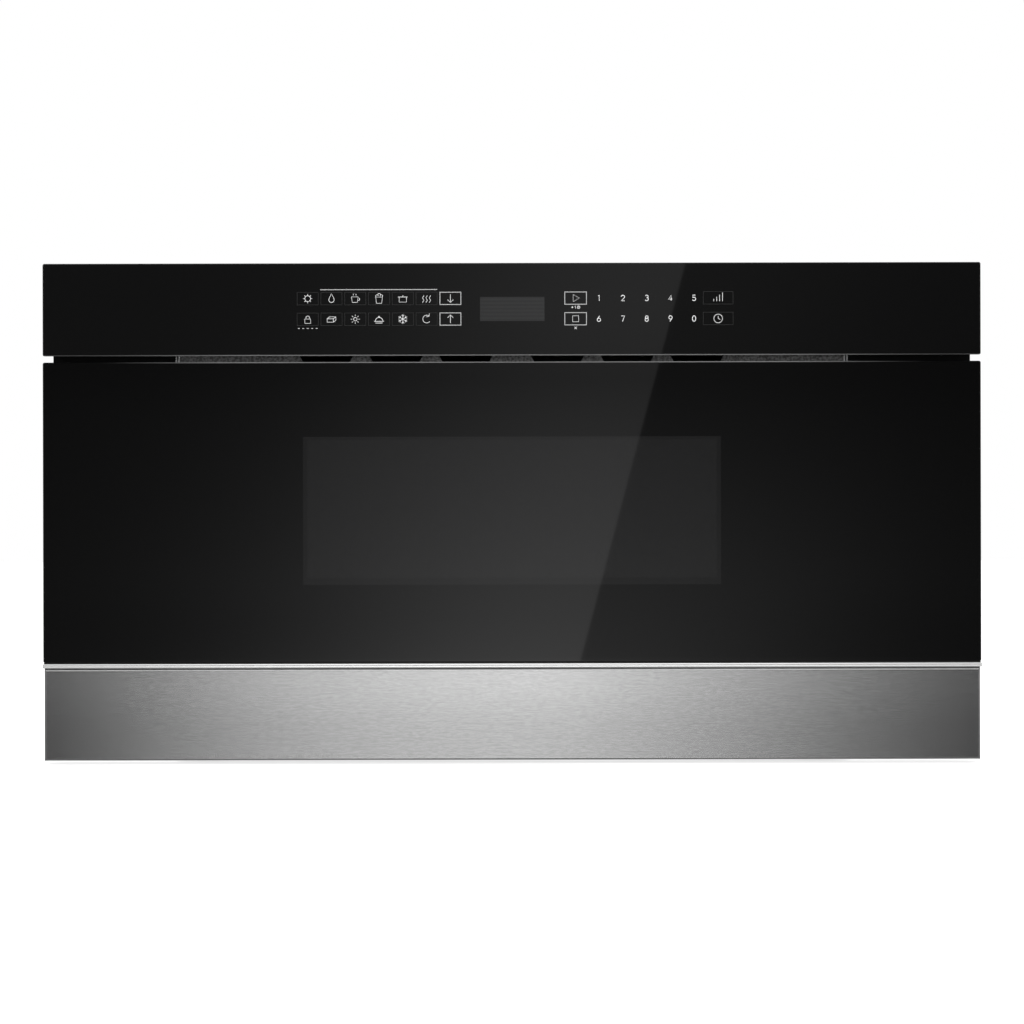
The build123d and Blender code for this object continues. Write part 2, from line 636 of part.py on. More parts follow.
def cord_gland():
    body = round_y(GLAND_RADIUS, REAR_FACE - GLAND_INSIDE, REAR_FACE, GLAND_X, GLAND_Z)
    rim = round_y(GLAND_RIM, REAR_FACE, DEPTH, GLAND_X, GLAND_Z)
    rim = fillet(rim.edges().sort_by(Axis.Y)[-1:], GLAND_PROUD / 3)
    bore = round_y(GLAND_BORE, REAR_FACE - 2 * GLAND_INSIDE, DEPTH + 1, GLAND_X, GLAND_Z)
    return body + rim - bore


def front_flange():
    plate = centred(FLANGE_HALF, FLANGE_FACE, FLANGE_BACK, FLANGE_BOTTOM, FLANGE_TOP)
    y0 = FLANGE_FACE - 1
    y1 = FLANGE_BACK + 1
    slide_half = ARM_TAB_HEIGHT / 2 + SLIDE_OPENING_PLAY
    arm_inside = RAIL_INSIDE - ARM_TAB_WIDTH - SLIDE_OPENING_PLAY
    cuts = [
        centred(CAVITY_HALF, y0, y1, CAVITY_FLOOR, CAVITY_TOP),
        centred(BODY_HALF, y0, y1, VENT_OPENING_BOTTOM, VENT_OPENING_TOP),
        centred(HARNESS_HALF, y0, y1, HARNESS_BOTTOM, HARNESS_TOP),
        *both_sides(block(arm_inside, SIDE_INSIDE, y0, y1, RAIL_Z - slide_half, RAIL_Z + slide_half)),
        block(
            BEAM_LEFT - BEAM_OPENING_PLAY,
            BEAM_RIGHT + BEAM_OPENING_PLAY,
            y0,
            y1,
            RACK_TIP - BEAM_OPENING_PLAY,
            BEAM_TOP + BEAM_OPENING_PLAY,
        ),
        *both_sides(round_y(STRIKER_RADIUS + SLIDE_OPENING_PLAY, y0, y1, SWITCH_X, SWITCH_Z)),
    ]
    for z in (FLANGE_BOTTOM + MOUNT_FROM_BOTTOM, FLANGE_TOP - MOUNT_FROM_TOP):
        cuts += both_sides(round_y(MOUNT_HOLE, y0, y1, FLANGE_HALF - MOUNT_INSET, z))
    return plate - cuts


# ---- Cavity, duct and grille ----
AIR_IN = [
    round_x(AIR_HOLE, -LINER_HALF - 1, -CAVITY_HALF + 1, y, z)
    for y in row(CAVITY_BACK - AIR_IN_TO_BACK, AIR_PITCH, 7)
    for z in row(CAVITY_TOP - AIR_IN_DROP, AIR_PITCH, 4)
]
AIR_OUT = [
    round_z(AIR_HOLE, CAVITY_TOP - 1, LINER_TOP + SHEET + 1, x, y)
    for x in row(CAVITY_HALF / 2, AIR_PITCH, 9)
    for y in row(FLANGE_BACK + AIR_OUT_TO_FRONT, AIR_PITCH, 4)
]
LAMP_HOLES = [
    round_x(AIR_HOLE, CAVITY_HALF - 1, LINER_HALF + 1, y, z)
    for y in row(LAMP_Y, AIR_PITCH * 0.75, 4)
    for z in row(LAMP_Z, AIR_PITCH * 0.75, 4)
]


def cavity_liner():
    shell = centred(LINER_HALF, FLANGE_BACK, LINER_BACK, LINER_BOTTOM, LINER_TOP)
    shell -= centred(CAVITY_HALF, FLANGE_BACK - 1, CAVITY_BACK, LINER_FLOOR, CAVITY_TOP)
    ledge_bottom = CERAMIC_BOTTOM - SHEET
    ledge = centred(CAVITY_HALF, FLANGE_BACK, CAVITY_BACK, ledge_bottom, CERAMIC_BOTTOM)
    ledge_front = FLANGE_BACK + LEDGE_WIDTH
    ledge_back = CAVITY_BACK - LEDGE_WIDTH
    ledge -= centred(CAVITY_HALF - LEDGE_WIDTH, ledge_front, ledge_back, ledge_bottom - 1, CERAMIC_BOTTOM + 1)
    coupling = round_z(COUPLING_HOLE, LINER_BOTTOM - 1, LINER_FLOOR + 1, 0, CAVITY_MIDDLE)
    return shell + ledge - coupling - AIR_IN - AIR_OUT - LAMP_HOLES


def ceramic_floor():
    front = FLANGE_BACK + CERAMIC_PLAY
    back = CAVITY_BACK - CERAMIC_PLAY
    return centred(CAVITY_HALF - CERAMIC_PLAY, front, back, CERAMIC_BOTTOM, CAVITY_FLOOR)


def exhaust_duct():
    duct = centred(DUCT_HALF, FLANGE_BACK, LINER_BACK, LINER_TOP, DUCT_TOP)
    duct -= centred(DUCT_HALF - SHEET, FLANGE_BACK - 1, LINER_BACK + 1, LINER_TOP + SHEET, DUCT_TOP - SHEET)
    return duct - AIR_OUT


def vent_grille():
    bottom = LINER_TOP + SHEET
    top = DUCT_TOP - SHEET
    plate = centred(DUCT_HALF - SHEET, FLANGE_BACK, FLANGE_BACK + SHEET, bottom, top)
    high = VENT_OPENING_TOP - VENT_SLOT_MARGIN
    low = high - VENT_SLOT_HEIGHT
    half = VENT_SLOT_WIDTH / 2
    slot = Polyline(
        (-half + VENT_SLOT_SLANT, low), (half - VENT_SLOT_SLANT, low), (half, high), (-half, high), close=True
    )
    cutter = extrude(Plane.XZ * make_face(slot), 2 * DEPTH, both=True)
    slots = [
        Pos(x, 0, 0) * cutter
        for side in (-1, 1)
        for x in row(side * VENT_GROUP_CENTRE, VENT_SLOT_PITCH, VENT_SLOT_COUNT)
    ]
    return plate - slots


# ---- Microwave feed ----
def waveguide():
    half = GUIDE_WIDTH / 2
    tube = centred(half, GUIDE_FRONT, GUIDE_REAR, GUIDE_BOTTOM, LINER_BOTTOM)
    tube -= centred(
        half - GUIDE_WALL,
        GUIDE_FRONT + GUIDE_WALL,
        GUIDE_REAR - GUIDE_WALL,
        GUIDE_BOTTOM + GUIDE_WALL,
        LINER_BOTTOM - GUIDE_WALL,
    )
    post = centred(half, GUIDE_REAR - GUIDE_WALL, GUIDE_REAR, PAN_FLOOR, GUIDE_BOTTOM)
    coupling = round_z(COUPLING_HOLE, LINER_BOTTOM - 2 * GUIDE_WALL, LINER_BOTTOM + 1, 0, CAVITY_MIDDLE)
    floor_top = GUIDE_BOTTOM + GUIDE_WALL
    shaft_hole = round_z(ANTENNA_SHAFT * 1.5, GUIDE_BOTTOM - 1, floor_top + 1, 0, CAVITY_MIDDLE)
    dome_hole = round_z(MAGNETRON_DOME * 1.5, LINER_BOTTOM - 2 * GUIDE_WALL, LINER_BOTTOM + 1, 0, BAY_MIDDLE)
    return tube + post - coupling - shaft_hole - dome_hole


def magnetron():
    y0 = BAY_MIDDLE - MAGNETRON_LENGTH / 2
    y1 = BAY_MIDDLE + MAGNETRON_LENGTH / 2
    half = MAGNETRON_WIDTH / 2
    top = MAGNETRON_TOP
    yoke = centred(half, y0, y1, LINER_BOTTOM, top)
    wall = 3 * MAGNETRON_FIN_SHEET
    yoke -= centred(half - wall, y0 - 1, y1 + 1, LINER_BOTTOM + wall, top - wall)
    anode = round_z(MAGNETRON_ANODE, LINER_BOTTOM + wall, top - wall, 0, BAY_MIDDLE)
    body = yoke + anode
    for z in spread(LINER_BOTTOM + 4 * wall, top - 4 * wall, MAGNETRON_FIN_COUNT):
        fin_half = MAGNETRON_FIN_SHEET / 2
        body += centred(half - wall, y0 + wall, y1 - wall, z - fin_half, z + fin_half)
    body += centred(half * 0.7, y0 + wall, y1 - wall, top, top + MAGNETRON_FILTER)
    body += round_z(MAGNETRON_DOME, LINER_BOTTOM - GUIDE_DEEP * 0.6, LINER_BOTTOM, 0, BAY_MIDDLE)
    return body


def antenna_motor():
    top = GUIDE_BOTTOM
    bottom = top - ANTENNA_MOTOR_HEIGHT
    can = round_z(ANTENNA_MOTOR_RADIUS, bottom, top, 0, CAVITY_MIDDLE)
    bore = round_z(ANTENNA_SHAFT + BEARING_PLAY, bottom + ANTENNA_MOTOR_HEIGHT / 2, top + 1, 0, CAVITY_MIDDLE)
    ear_front = CAVITY_MIDDLE - MOTOR_EAR_WIDTH / 2
    ear_back = CAVITY_MIDDLE + MOTOR_EAR_WIDTH / 2
    ears = centred(ANTENNA_MOTOR_RADIUS * 1.5, ear_front, ear_back, top - MOTOR_EAR_SHEET, top)
    return can + ears - bore


def antenna_rotor():
    disc_bottom = LINER_FLOOR + ANTENNA_RISE
    disc = round_z(ANTENNA_RADIUS, disc_bottom, disc_bottom + ANTENNA_SHEET, 0, CAVITY_MIDDLE)
    spoke = ROTOR_SPOKE / 2
    slot = block(ANTENNA_RADIUS * 0.35, ANTENNA_RADIUS * 0.82, -spoke, spoke, -1, ANTENNA_SHEET + 1)
    slots = [Pos(0, CAVITY_MIDDLE, disc_bottom) * Rot(0, 0, angle) * slot for angle in range(0, 360, 60)]
    flat = block(
        -ANTENNA_RADIUS,
        -ANTENNA_RADIUS * 0.75,
        CAVITY_MIDDLE - ANTENNA_RADIUS,
        CAVITY_MIDDLE + ANTENNA_RADIUS,
        disc_bottom - 1,
        disc_bottom + ANTENNA_SHEET + 1,
    )
    shaft_bottom = GUIDE_BOTTOM - ANTENNA_MOTOR_HEIGHT / 2 + BALL_PLAY
    shaft = round_z(ANTENNA_SHAFT, shaft_bottom, disc_bottom, 0, CAVITY_MIDDLE)
    return disc - slots - flat + shaft


# ---- Cooling fan ----
def fan_housing():
    half = FAN_SIZE / 2
    body = block(FAN_FRONT, FAN_EXIT, BAY_MIDDLE - half, BAY_MIDDLE + half, FAN_Z - half, FAN_Z + half)
    body = fillet(body.edges().filter_by(Axis.X), FAN_CORNER)
    baffle_back = REAR_INSIDE - SHEET
    baffle = block(FAN_FRONT, FAN_FRONT + BAFFLE_SHEET, LINER_BACK, baffle_back, PAN_FLOOR, BAFFLE_TOP)
    bore = round_x(FAN_BORE, FAN_FRONT - 1, FAN_EXIT + 1, BAY_MIDDLE, FAN_Z)
    long = FAN_BORE + 1
    struts = [
        block(FAN_STRUT_FACE, FAN_EXIT, BAY_MIDDLE - y, BAY_MIDDLE + y, FAN_Z - z, FAN_Z + z)
        for y, z in ((long, FAN_STRUT), (FAN_STRUT, long))
    ]
    seat = round_x(FAN_HUB, FAN_STRUT_FACE, FAN_EXIT, BAY_MIDDLE, FAN_Z)
    return body + baffle - bore + struts + seat


def fan_motor():
    back = FAN_STRUT_FACE
    can = round_x(FAN_HUB - FAN_END_PLAY, back - FAN_MOTOR_LENGTH, back, BAY_MIDDLE, FAN_Z)
    shaft = round_x(FAN_SHAFT, FAN_FRONT + FAN_STRUT + FAN_END_PLAY, back, BAY_MIDDLE, FAN_Z)
    return can + shaft


def fan_impeller():
    x0 = FAN_FRONT + FAN_STRUT
    x1 = FAN_STRUT_FACE - FAN_MOTOR_LENGTH - FAN_END_PLAY
    tip = FAN_BORE - FAN_BLADE_PLAY
    hub = round_x(FAN_HUB, x0, x1, 0, 0)
    reach = block(-FAN_DEPTH, FAN_DEPTH, -FAN_BLADE_SHEET / 2, FAN_BLADE_SHEET / 2, FAN_HUB - 2, tip + 2)
    blade = Pos((x0 + x1) / 2, 0, 0) * Rot(0, 0, FAN_BLADE_ANGLE) * reach
    envelope = round_x(tip, x0, x1, 0, 0)
    wheel = hub
    for angle in row(180.0, 360.0 / FAN_BLADE_COUNT, FAN_BLADE_COUNT):
        wheel += (Rot(angle, 0, 0) * blade) & envelope
    wheel -= round_x(FAN_SHAFT + BEARING_PLAY, x0 + FAN_END_PLAY / 2, x1 + 1, 0, 0)
    return Pos(0, BAY_MIDDLE, FAN_Z) * wheel


# ---- Electrical parts ----
def upright_blade(x, y, z):
    """A flat terminal that stands on the height z."""
    half = BLADE_WIDTH / 2
    thin = BLADE_SHEET / 2
    return block(x - half, x + half, y - thin, y + thin, z, z + BLADE_LENGTH)


def hv_transformer():
    x0 = TRANSFORMER_X - TRANSFORMER_WIDTH / 2
    x1 = TRANSFORMER_X + TRANSFORMER_WIDTH / 2
    y0 = BAY_MIDDLE - TRANSFORMER_DEPTH / 2
    y1 = BAY_MIDDLE + TRANSFORMER_DEPTH / 2
    core_bottom = PAN_FLOOR + TRANSFORMER_PLATE
    body = block(x0, x1, y0, y1, core_bottom, PAN_FLOOR + TRANSFORMER_HEIGHT)
    body += block(x0 - TRANSFORMER_LUG, x1 + TRANSFORMER_LUG, y0, y1, PAN_FLOOR, core_bottom)
    coil = RectangleRounded(TRANSFORMER_WIDTH * 0.66, TRANSFORMER_DEPTH * 1.32, WINDING_CORNER)
    winding = extrude(coil, TRANSFORMER_HEIGHT * 0.12, both=True)
    for height in (0.33, 0.7):
        body += Pos(TRANSFORMER_X, BAY_MIDDLE, PAN_FLOOR + TRANSFORMER_HEIGHT * height) * winding
    return body


def hv_capacitor():
    profile = SlotOverall(CAPACITOR_LENGTH, CAPACITOR_WIDTH)
    can = Pos(CAPACITOR_X, BAY_MIDDLE, PAN_FLOOR) * extrude(profile, CAPACITOR_HEIGHT)
    can = fillet(can.faces().sort_by(Axis.Z)[-1].edges(), CAPACITOR_WIDTH / 16)
    top = PAN_FLOOR + CAPACITOR_HEIGHT
    for x in row(CAPACITOR_X, CAPACITOR_LENGTH / 3, 2):
        can += round_z(TERMINAL_RADIUS, top, top + TERMINAL_HEIGHT, x, BAY_MIDDLE)
        can += upright_blade(x, BAY_MIDDLE, top + TERMINAL_HEIGHT)
    return can


def power_board():
    bottom = DUCT_TOP + STANDOFF
    top = bottom + BOARD_SHEET
    half = POWER_BOARD_WIDTH / 2
    quarter = POWER_BOARD_DEPTH / 4
    board = Box(POWER_BOARD_WIDTH, POWER_BOARD_DEPTH, BOARD_SHEET)
    board = Pos(POWER_BOARD_X, POWER_BOARD_Y, bottom + BOARD_SHEET / 2) * board
    for x in row(POWER_BOARD_X, POWER_BOARD_WIDTH - 4 * STANDOFF_RADIUS, 2):
        for y in row(POWER_BOARD_Y, POWER_BOARD_DEPTH - 4 * STANDOFF_RADIUS, 2):
            board += round_z(STANDOFF_RADIUS, DUCT_TOP, bottom, x, y)
    front = POWER_BOARD_Y - quarter
    back = POWER_BOARD_Y + quarter
    left = POWER_BOARD_X - half + BOARD_MARGIN
    right = POWER_BOARD_X + half - BOARD_MARGIN
    choke_x = right - SUPPLY_CHOKE_WIDTH / 2
    relay_end = choke_x - SUPPLY_CHOKE_WIDTH
    relay = Box(RELAY_WIDTH, RELAY_DEPTH, RELAY_HEIGHT)
    for x in spread(left, relay_end, RELAY_COUNT):
        board += Pos(x, front, top + RELAY_HEIGHT / 2) * relay
    choke = Box(SUPPLY_CHOKE_WIDTH, SUPPLY_CHOKE_DEPTH, SUPPLY_CHOKE_HEIGHT)
    board += Pos(choke_x, front, top + SUPPLY_CHOKE_HEIGHT / 2) * choke
    for x in spread(left, relay_end, CAP_COUNT):
        board += round_z(CAP_RADIUS, top, top + CAP_HEIGHT, x, back)
    plug = Box(RELAY_WIDTH * 0.75, RELAY_DEPTH / 2, RELAY_HEIGHT * 0.7)
    for x in spread(choke_x - RELAY_WIDTH, right, RELAY_COUNT - 1):
        board += Pos(x, back, top + RELAY_HEIGHT * 0.35) * plug
    return board


def cavity_lamp():
    half = LAMP_SIZE / 2
    box_out = LINER_HALF + LAMP_SIZE * 0.8
    inside_out = box_out - SHEET
    inside = half - SHEET
    cover = block(LINER_HALF, box_out, LAMP_Y - half, LAMP_Y + half, LAMP_Z - half, LAMP_Z + half)
    bottom = LAMP_Z - half - 1
    cover -= block(LINER_HALF - 1, inside_out, LAMP_Y - inside, LAMP_Y + inside, bottom, LAMP_Z + inside)
    socket_end = inside_out - LAMP_SOCKET
    socket = round_x(LAMP_SOCKET, socket_end, inside_out, LAMP_Y, LAMP_Z)
    bulb = round_x(BULB_RADIUS, LINER_HALF + BULB_RADIUS / 2, socket_end, LAMP_Y, LAMP_Z)
    bulb = fillet(bulb.edges().sort_by(Axis.X)[:1], BULB_RADIUS * 0.8)
    return cover + socket + bulb


def cutout(pitch=CUTOUT_BLADE_PITCH):
    """A disc thermostat that stands on the XY plane, with its ears along Y."""
    body = round_z(CUTOUT_RADIUS, 0, CUTOUT_HEIGHT, 0, 0)
    body += Pos(0, 0, SHEET / 2) * Box(CUTOUT_EAR_WIDTH, 2 * CUTOUT_EAR, SHEET)
    return body + [upright_blade(0, y, CUTOUT_HEIGHT) for y in row(0, pitch, 2)]


def thermal_cutouts():
    side = Pos(-LINER_HALF, CUTOUT_Y, CUTOUT_Z) * Rot(0, -90, 0) * cutout()
    rear = Pos(0, BAY_MIDDLE, MAGNETRON_TOP + MAGNETRON_FILTER) * Rot(0, 0, 90) * cutout()
    return group([side, rear])


# ---- Telescopic slides ----
def channel(x_web, x_tip, half_height, y0, y1):
    """A right-hand rail: a web on the x_web side and flanges that reach to x_tip."""
    x0 = min(x_web, x_tip)
    x1 = max(x_web, x_tip)
    web_side = 1 if x_web > x_tip else -1
    outer = block(x0, x1, y0, y1, RAIL_Z - half_height, RAIL_Z + half_height)
    inner_half = half_height - RAIL_SHEET
    shift = -web_side * RAIL_SHEET
    return outer - block(x0 + shift, x1 + shift, y0 - 1, y1 + 1, RAIL_Z - inner_half, RAIL_Z + inner_half)


def outer_rail():
    return channel(SIDE_INSIDE, RAIL_TIP, RAIL_HALF, RAIL_FRONT, RAIL_FRONT + RAIL_LENGTH)


def middle_rail():
    front = RAIL_FRONT + MIDDLE_RAIL_BACK
    return channel(MIDDLE_WEB, RAIL_TIP, MIDDLE_HALF, front, front + RAIL_LENGTH - MIDDLE_RAIL_SHORT)


def inner_rail():
    tip = MIDDLE_WEB - RAIL_SHEET - RAIL_TIP_PLAY
    return channel(RAIL_INSIDE, tip, INNER_HALF, RAIL_FRONT, RAIL_FRONT + RAIL_LENGTH - INNER_RAIL_SHORT)


def ball_cages(race_centre, y_centre):
    """The strips above and below a rail's centre, on both sides, each with its balls."""
    x = (RAIL_TIP + MIDDLE_WEB - RAIL_SHEET) / 2
    strip = Box(CAGE_WIDTH, 2 * CAGE_HALF, CAGE_SHEET)
    strip += [Pos(0, y, 0) * Sphere(BALL / 2) for y in row(0, BALL_PITCH, BALL_COUNT)]
    upper = Pos(x, y_centre, RAIL_Z + race_centre) * strip
    lower = Pos(x, y_centre, RAIL_Z - race_centre) * strip
    return group(both_sides(upper) + both_sides(lower))


def arm_bracket():
    x1 = RAIL_INSIDE
    x0 = x1 - ARM_SHEET
    tab_x = x1 - ARM_TAB_WIDTH
    back = DOOR_BACK + ARM_LENGTH
    half = ARM_HEIGHT / 2
    plate = block(x0, x1, DOOR_BACK, back, RAIL_Z - half, RAIL_Z + half)
    tab_half = ARM_TAB_HEIGHT / 2
    tab = block(tab_x, x1, DOOR_BACK, DOOR_BACK + ARM_SHEET, RAIL_Z - tab_half, RAIL_Z + tab_half)
    places = spread(DOOR_BACK + ARM_HOLE_START, back - ARM_HOLE_END, ARM_HOLE_COUNT)
    return plate + tab - [round_x(ARM_HOLE, x0 - 1, x1 + 1, y, RAIL_Z) for y in places]


# ---- Rack and gears ----
def involute(angle):
    return math.tan(angle) - angle


def gear(teeth, module, width, tooth_at):
    """A spur gear on the YZ plane, growing along +X, with one tooth centred at the angle tooth_at."""
    pressure = math.radians(PRESSURE_ANGLE)
    pitch_radius = teeth * module / 2
    base_radius = pitch_radius * math.cos(pressure)
    tip_radius = pitch_radius + ADDENDUM * module
    root_radius = pitch_radius - DEDENDUM * module
    half_tooth = math.pi / (2 * teeth) - BACKLASH / (4 * pitch_radius) + involute(pressure)
    foot_radius = max(base_radius, root_radius)
    flank = []
    for radius in spread(foot_radius, tip_radius, FLANK_STEPS + 1):
        flank.append((radius, half_tooth - involute(math.acos(base_radius / radius))))
    if root_radius < base_radius:
        flank.insert(0, (root_radius, flank[0][1]))
    points = []
    for tooth in range(teeth):
        centre = math.radians(tooth_at) + 2 * math.pi * tooth / teeth
        rising = [(radius, centre - angle) for radius, angle in flank]
        falling = [(radius, centre + angle) for radius, angle in reversed(flank)]
        points += [(radius * math.cos(a), radius * math.sin(a)) for radius, a in rising + falling]
    return extrude(Plane.YZ * make_face(Polyline(*points, close=True)), width)


def output_gear():
    pinion = Pos(BEAM_X - PINION_WIDTH / 2, 0, 0) * gear(PINION_TEETH, RACK_MODULE, PINION_WIDTH, 90.0)
    wheel = Pos(GEAR_X, 0, 0) * gear(OUTPUT_TEETH, GEAR_MODULE, GEAR_WIDTH, IDLER_ANGLE)
    shaft = round_x(OUTPUT_SHAFT, GEARBOX_LEFT, MOTOR_FACE, 0, 0)
    hub = round_x(OUTPUT_SHAFT * 2, BEAM_X, GEAR_X + GEAR_WIDTH + GEAR_SIDE_PLAY / 2, 0, 0)
    return Pos(0, PINION_Y, OUTPUT_Z) * (pinion + wheel + shaft + hub)


def idler_gear():
    facing = IDLER_ANGLE + 180.0 + 180.0 / IDLER_SMALL_TEETH
    small_width = SECOND_GEAR_X - GEAR_X
    small = Pos(GEAR_X, 0, 0) * gear(IDLER_SMALL_TEETH, GEAR_MODULE, small_width, facing)
    large = Pos(SECOND_GEAR_X, 0, 0) * gear(IDLER_LARGE_TEETH, GEAR_MODULE, GEAR_WIDTH, MOTOR_ANGLE)
    shaft = round_x(IDLER_SHAFT, GEARBOX_LEFT, MOTOR_FACE, 0, 0)
    return Pos(0, IDLER_Y, IDLER_Z) * (small + large + shaft)


def motor_gear():
    facing = MOTOR_ANGLE + 180.0 + 180.0 / MOTOR_TEETH
    wheel = Pos(SECOND_GEAR_X, 0, 0) * gear(MOTOR_TEETH, GEAR_MODULE, GEAR_WIDTH, facing)
    shaft_end = MOTOR_FACE + DRIVE_MOTOR_LENGTH / 2
    shaft = round_x(MOTOR_SHAFT, SECOND_GEAR_X, shaft_end, 0, 0)
    return Pos(0, MOTOR_Y, MOTOR_Z) * (wheel + shaft)


def drive_rack():
    base = RACK_PITCH_LINE + DEDENDUM * RACK_MODULE
    tip = RACK_TIP
    slope = math.tan(math.radians(PRESSURE_ANGLE))
    half_pitch_line = TOOTH_PITCH / 4 - BACKLASH / 4
    root_half = half_pitch_line + slope * DEDENDUM * RACK_MODULE
    tip_half = half_pitch_line - slope * ADDENDUM * RACK_MODULE
    top = BEAM_TOP - BEAM_SHEET
    gap_count = math.floor((RACK_END - RACK_START) / TOOTH_PITCH)
    points = [(RACK_START, top), (RACK_START, base)]
    for step in range(gap_count):
        centre = RACK_START + (step + 0.5) * TOOTH_PITCH
        points += [(centre - root_half, base), (centre - tip_half, tip)]
        points += [(centre + tip_half, tip), (centre + root_half, base)]
    points += [(RACK_END, base), (RACK_END, top)]
    bar = extrude(Plane.YZ * make_face(Polyline(*points, close=True)), RACK_WIDTH)
    return Pos(BEAM_X - RACK_WIDTH / 2, 0, 0) * bar


def rack_beam():
    bottom = BEAM_TOP - BEAM_HEIGHT
    beam = block(BEAM_LEFT, BEAM_RIGHT, DOOR_BACK, RACK_END, bottom, BEAM_TOP)
    left = BEAM_LEFT + BEAM_SHEET
    right = BEAM_RIGHT - BEAM_SHEET
    beam -= block(left, right, DOOR_BACK - 1, RACK_END + 1, bottom - 1, BEAM_TOP - BEAM_SHEET)
    tab = block(BEAM_LEFT, BEAM_RIGHT, DOOR_BACK, DOOR_BACK + BEAM_SHEET, RACK_TIP, BEAM_TOP)
    return beam + tab


def drive_housing():
    front = PINION_Y - GEARBOX_RIM
    middle = PINION_Y + GEARBOX_RIM
    back = MOTOR_Y + GEARBOX_RIM
    rail_top = BEAM_TOP + GUIDE_PLAY + GUIDE_HEIGHT
    right_edge = MOTOR_FACE
    left_back = IDLER_Y + GEARBOX_RIM
    left_plate = block(GEARBOX_LEFT, GEARBOX_LEFT + GEARBOX_SHEET, front, left_back, PAN_FLOOR, rail_top)
    right_plate = block(GEARBOX_RIGHT, right_edge, front, back, PAN_FLOOR, BEAM_TOP - BEAM_HEIGHT)
    right_plate += block(GEARBOX_RIGHT, right_edge, front, middle, BEAM_TOP - BEAM_HEIGHT, rail_top)
    base = block(GEARBOX_LEFT, right_edge, front, back, PAN_FLOOR, GEARBOX_FLOOR)
    guide = block(GEARBOX_LEFT, right_edge, front, middle, BEAM_TOP + GUIDE_PLAY, rail_top)
    bores = [
        round_x(OUTPUT_SHAFT + BEARING_PLAY, GEARBOX_LEFT - 1, right_edge + 1, PINION_Y, OUTPUT_Z),
        round_x(IDLER_SHAFT + BEARING_PLAY, GEARBOX_LEFT - 1, right_edge + 1, IDLER_Y, IDLER_Z),
        round_x(MOTOR_SHAFT * 2, GEARBOX_RIGHT - 1, right_edge + 1, MOTOR_Y, MOTOR_Z),
    ]
    return left_plate + right_plate + base + guide - bores


def drive_motor():
    end = MOTOR_FACE + DRIVE_MOTOR_LENGTH
    bore_end = MOTOR_FACE + DRIVE_MOTOR_LENGTH / 2 + BALL_PLAY
    can = round_x(DRIVE_MOTOR_RADIUS, MOTOR_FACE, end, MOTOR_Y, MOTOR_Z)
    cap = round_x(DRIVE_MOTOR_RADIUS / 2, end, end + MOTOR_END_CAP, MOTOR_Y, MOTOR_Z)
    return can + cap - round_x(MOTOR_SHAFT + BEARING_PLAY, MOTOR_FACE - 1, bore_end, MOTOR_Y, MOTOR_Z)


# ---- Door switches ----
def striker():
    foot = round_y(STRIKER_FOOT, DOOR_BACK, DOOR_BACK + DOOR_GAP - BUMPER_PLAY, SWITCH_X, SWITCH_Z)
    stem = round_y(STRIKER_RADIUS, DOOR_BACK, STRIKER_TIP, SWITCH_X, SWITCH_Z)
    return foot + chamfer(stem.edges().sort_by(Axis.Y)[-1:], 1)


def interlock_plunger():
    head = round_y(PLUNGER_HEAD, PLUNGER_FRONT, PLUNGER_FRONT + PLUNGER_HEAD_THICK, SWITCH_X, SWITCH_Z)
    shank = round_y(PLUNGER_RADIUS, PLUNGER_FRONT, PLUNGER_BACK, SWITCH_X, SWITCH_Z)
    return head + shank


def interlock_switch():
    half = SWITCH_SIZE / 2
    back = SWITCH_FRONT + SWITCH_LENGTH
    foot_front = SWITCH_FRONT + SWITCH_BRACKET_INSET
    foot_back = back - SWITCH_BRACKET_INSET
    bottom = SWITCH_Z - half
    foot_x = SIDE_INSIDE - SWITCH_BRACKET
    body = block(SWITCH_X - half, SWITCH_X + half, SWITCH_FRONT, back, bottom, SWITCH_Z + half)
    bracket = block(SWITCH_X, SIDE_INSIDE, foot_front, foot_back, bottom, bottom + SWITCH_BRACKET)
    foot = block(foot_x, SIDE_INSIDE, foot_front, foot_back, bottom, SWITCH_Z + half)
    blade = Rot(-90, 0, 90) * upright_blade(0, 0, 0)
    blades = [Pos(x, back, SWITCH_Z) * blade for x in row(SWITCH_X, half * 0.7, 2)]
    bore_end = PLUNGER_BACK + PLUNGER_STROKE + STRIKER_PLAY
    bore = round_y(PLUNGER_RADIUS + BEARING_PLAY, SWITCH_FRONT - 1, bore_end, SWITCH_X, SWITCH_Z)
    return body + bracket + foot + blades - bore


# ---- Control panel ----
def glass_sheet(bottom, top):
    sheet = centred(FRONT_WIDTH / 2, GLASS_FACE, GLASS_BACK, bottom, top)
    sheet = fillet(sheet.edges().filter_by(Axis.Y), GLASS_CORNER)
    return chamfer(sheet.faces().sort_by(Axis.Y)[0].edges(), GLASS_CHAMFER)


def panel_housing():
    tray = centred(PANEL_HALF, GLASS_BACK, FLANGE_FACE, PANEL_HOUSING_BOTTOM, PANEL_HOUSING_TOP)
    tray -= centred(
        PANEL_HALF - PANEL_WALL,
        GLASS_BACK - 1,
        PANEL_BACK_WALL,
        PANEL_HOUSING_BOTTOM + PANEL_WALL,
        PANEL_HOUSING_TOP - PANEL_WALL,
    )
    tray -= centred(HARNESS_HALF, PANEL_BACK_WALL - 1, FLANGE_FACE + 1, HARNESS_BOTTOM, HARNESS_TOP)
    back = CONTROL_Y + BOARD_SHEET
    for x in row(0, CONTROL_WIDTH - 4 * CONTROL_POST, 2):
        for z in row(PANEL_MIDDLE, CONTROL_HEIGHT - 4 * CONTROL_POST, 2):
            tray += round_y(CONTROL_POST, back, PANEL_BACK_WALL, x, z)
    return tray


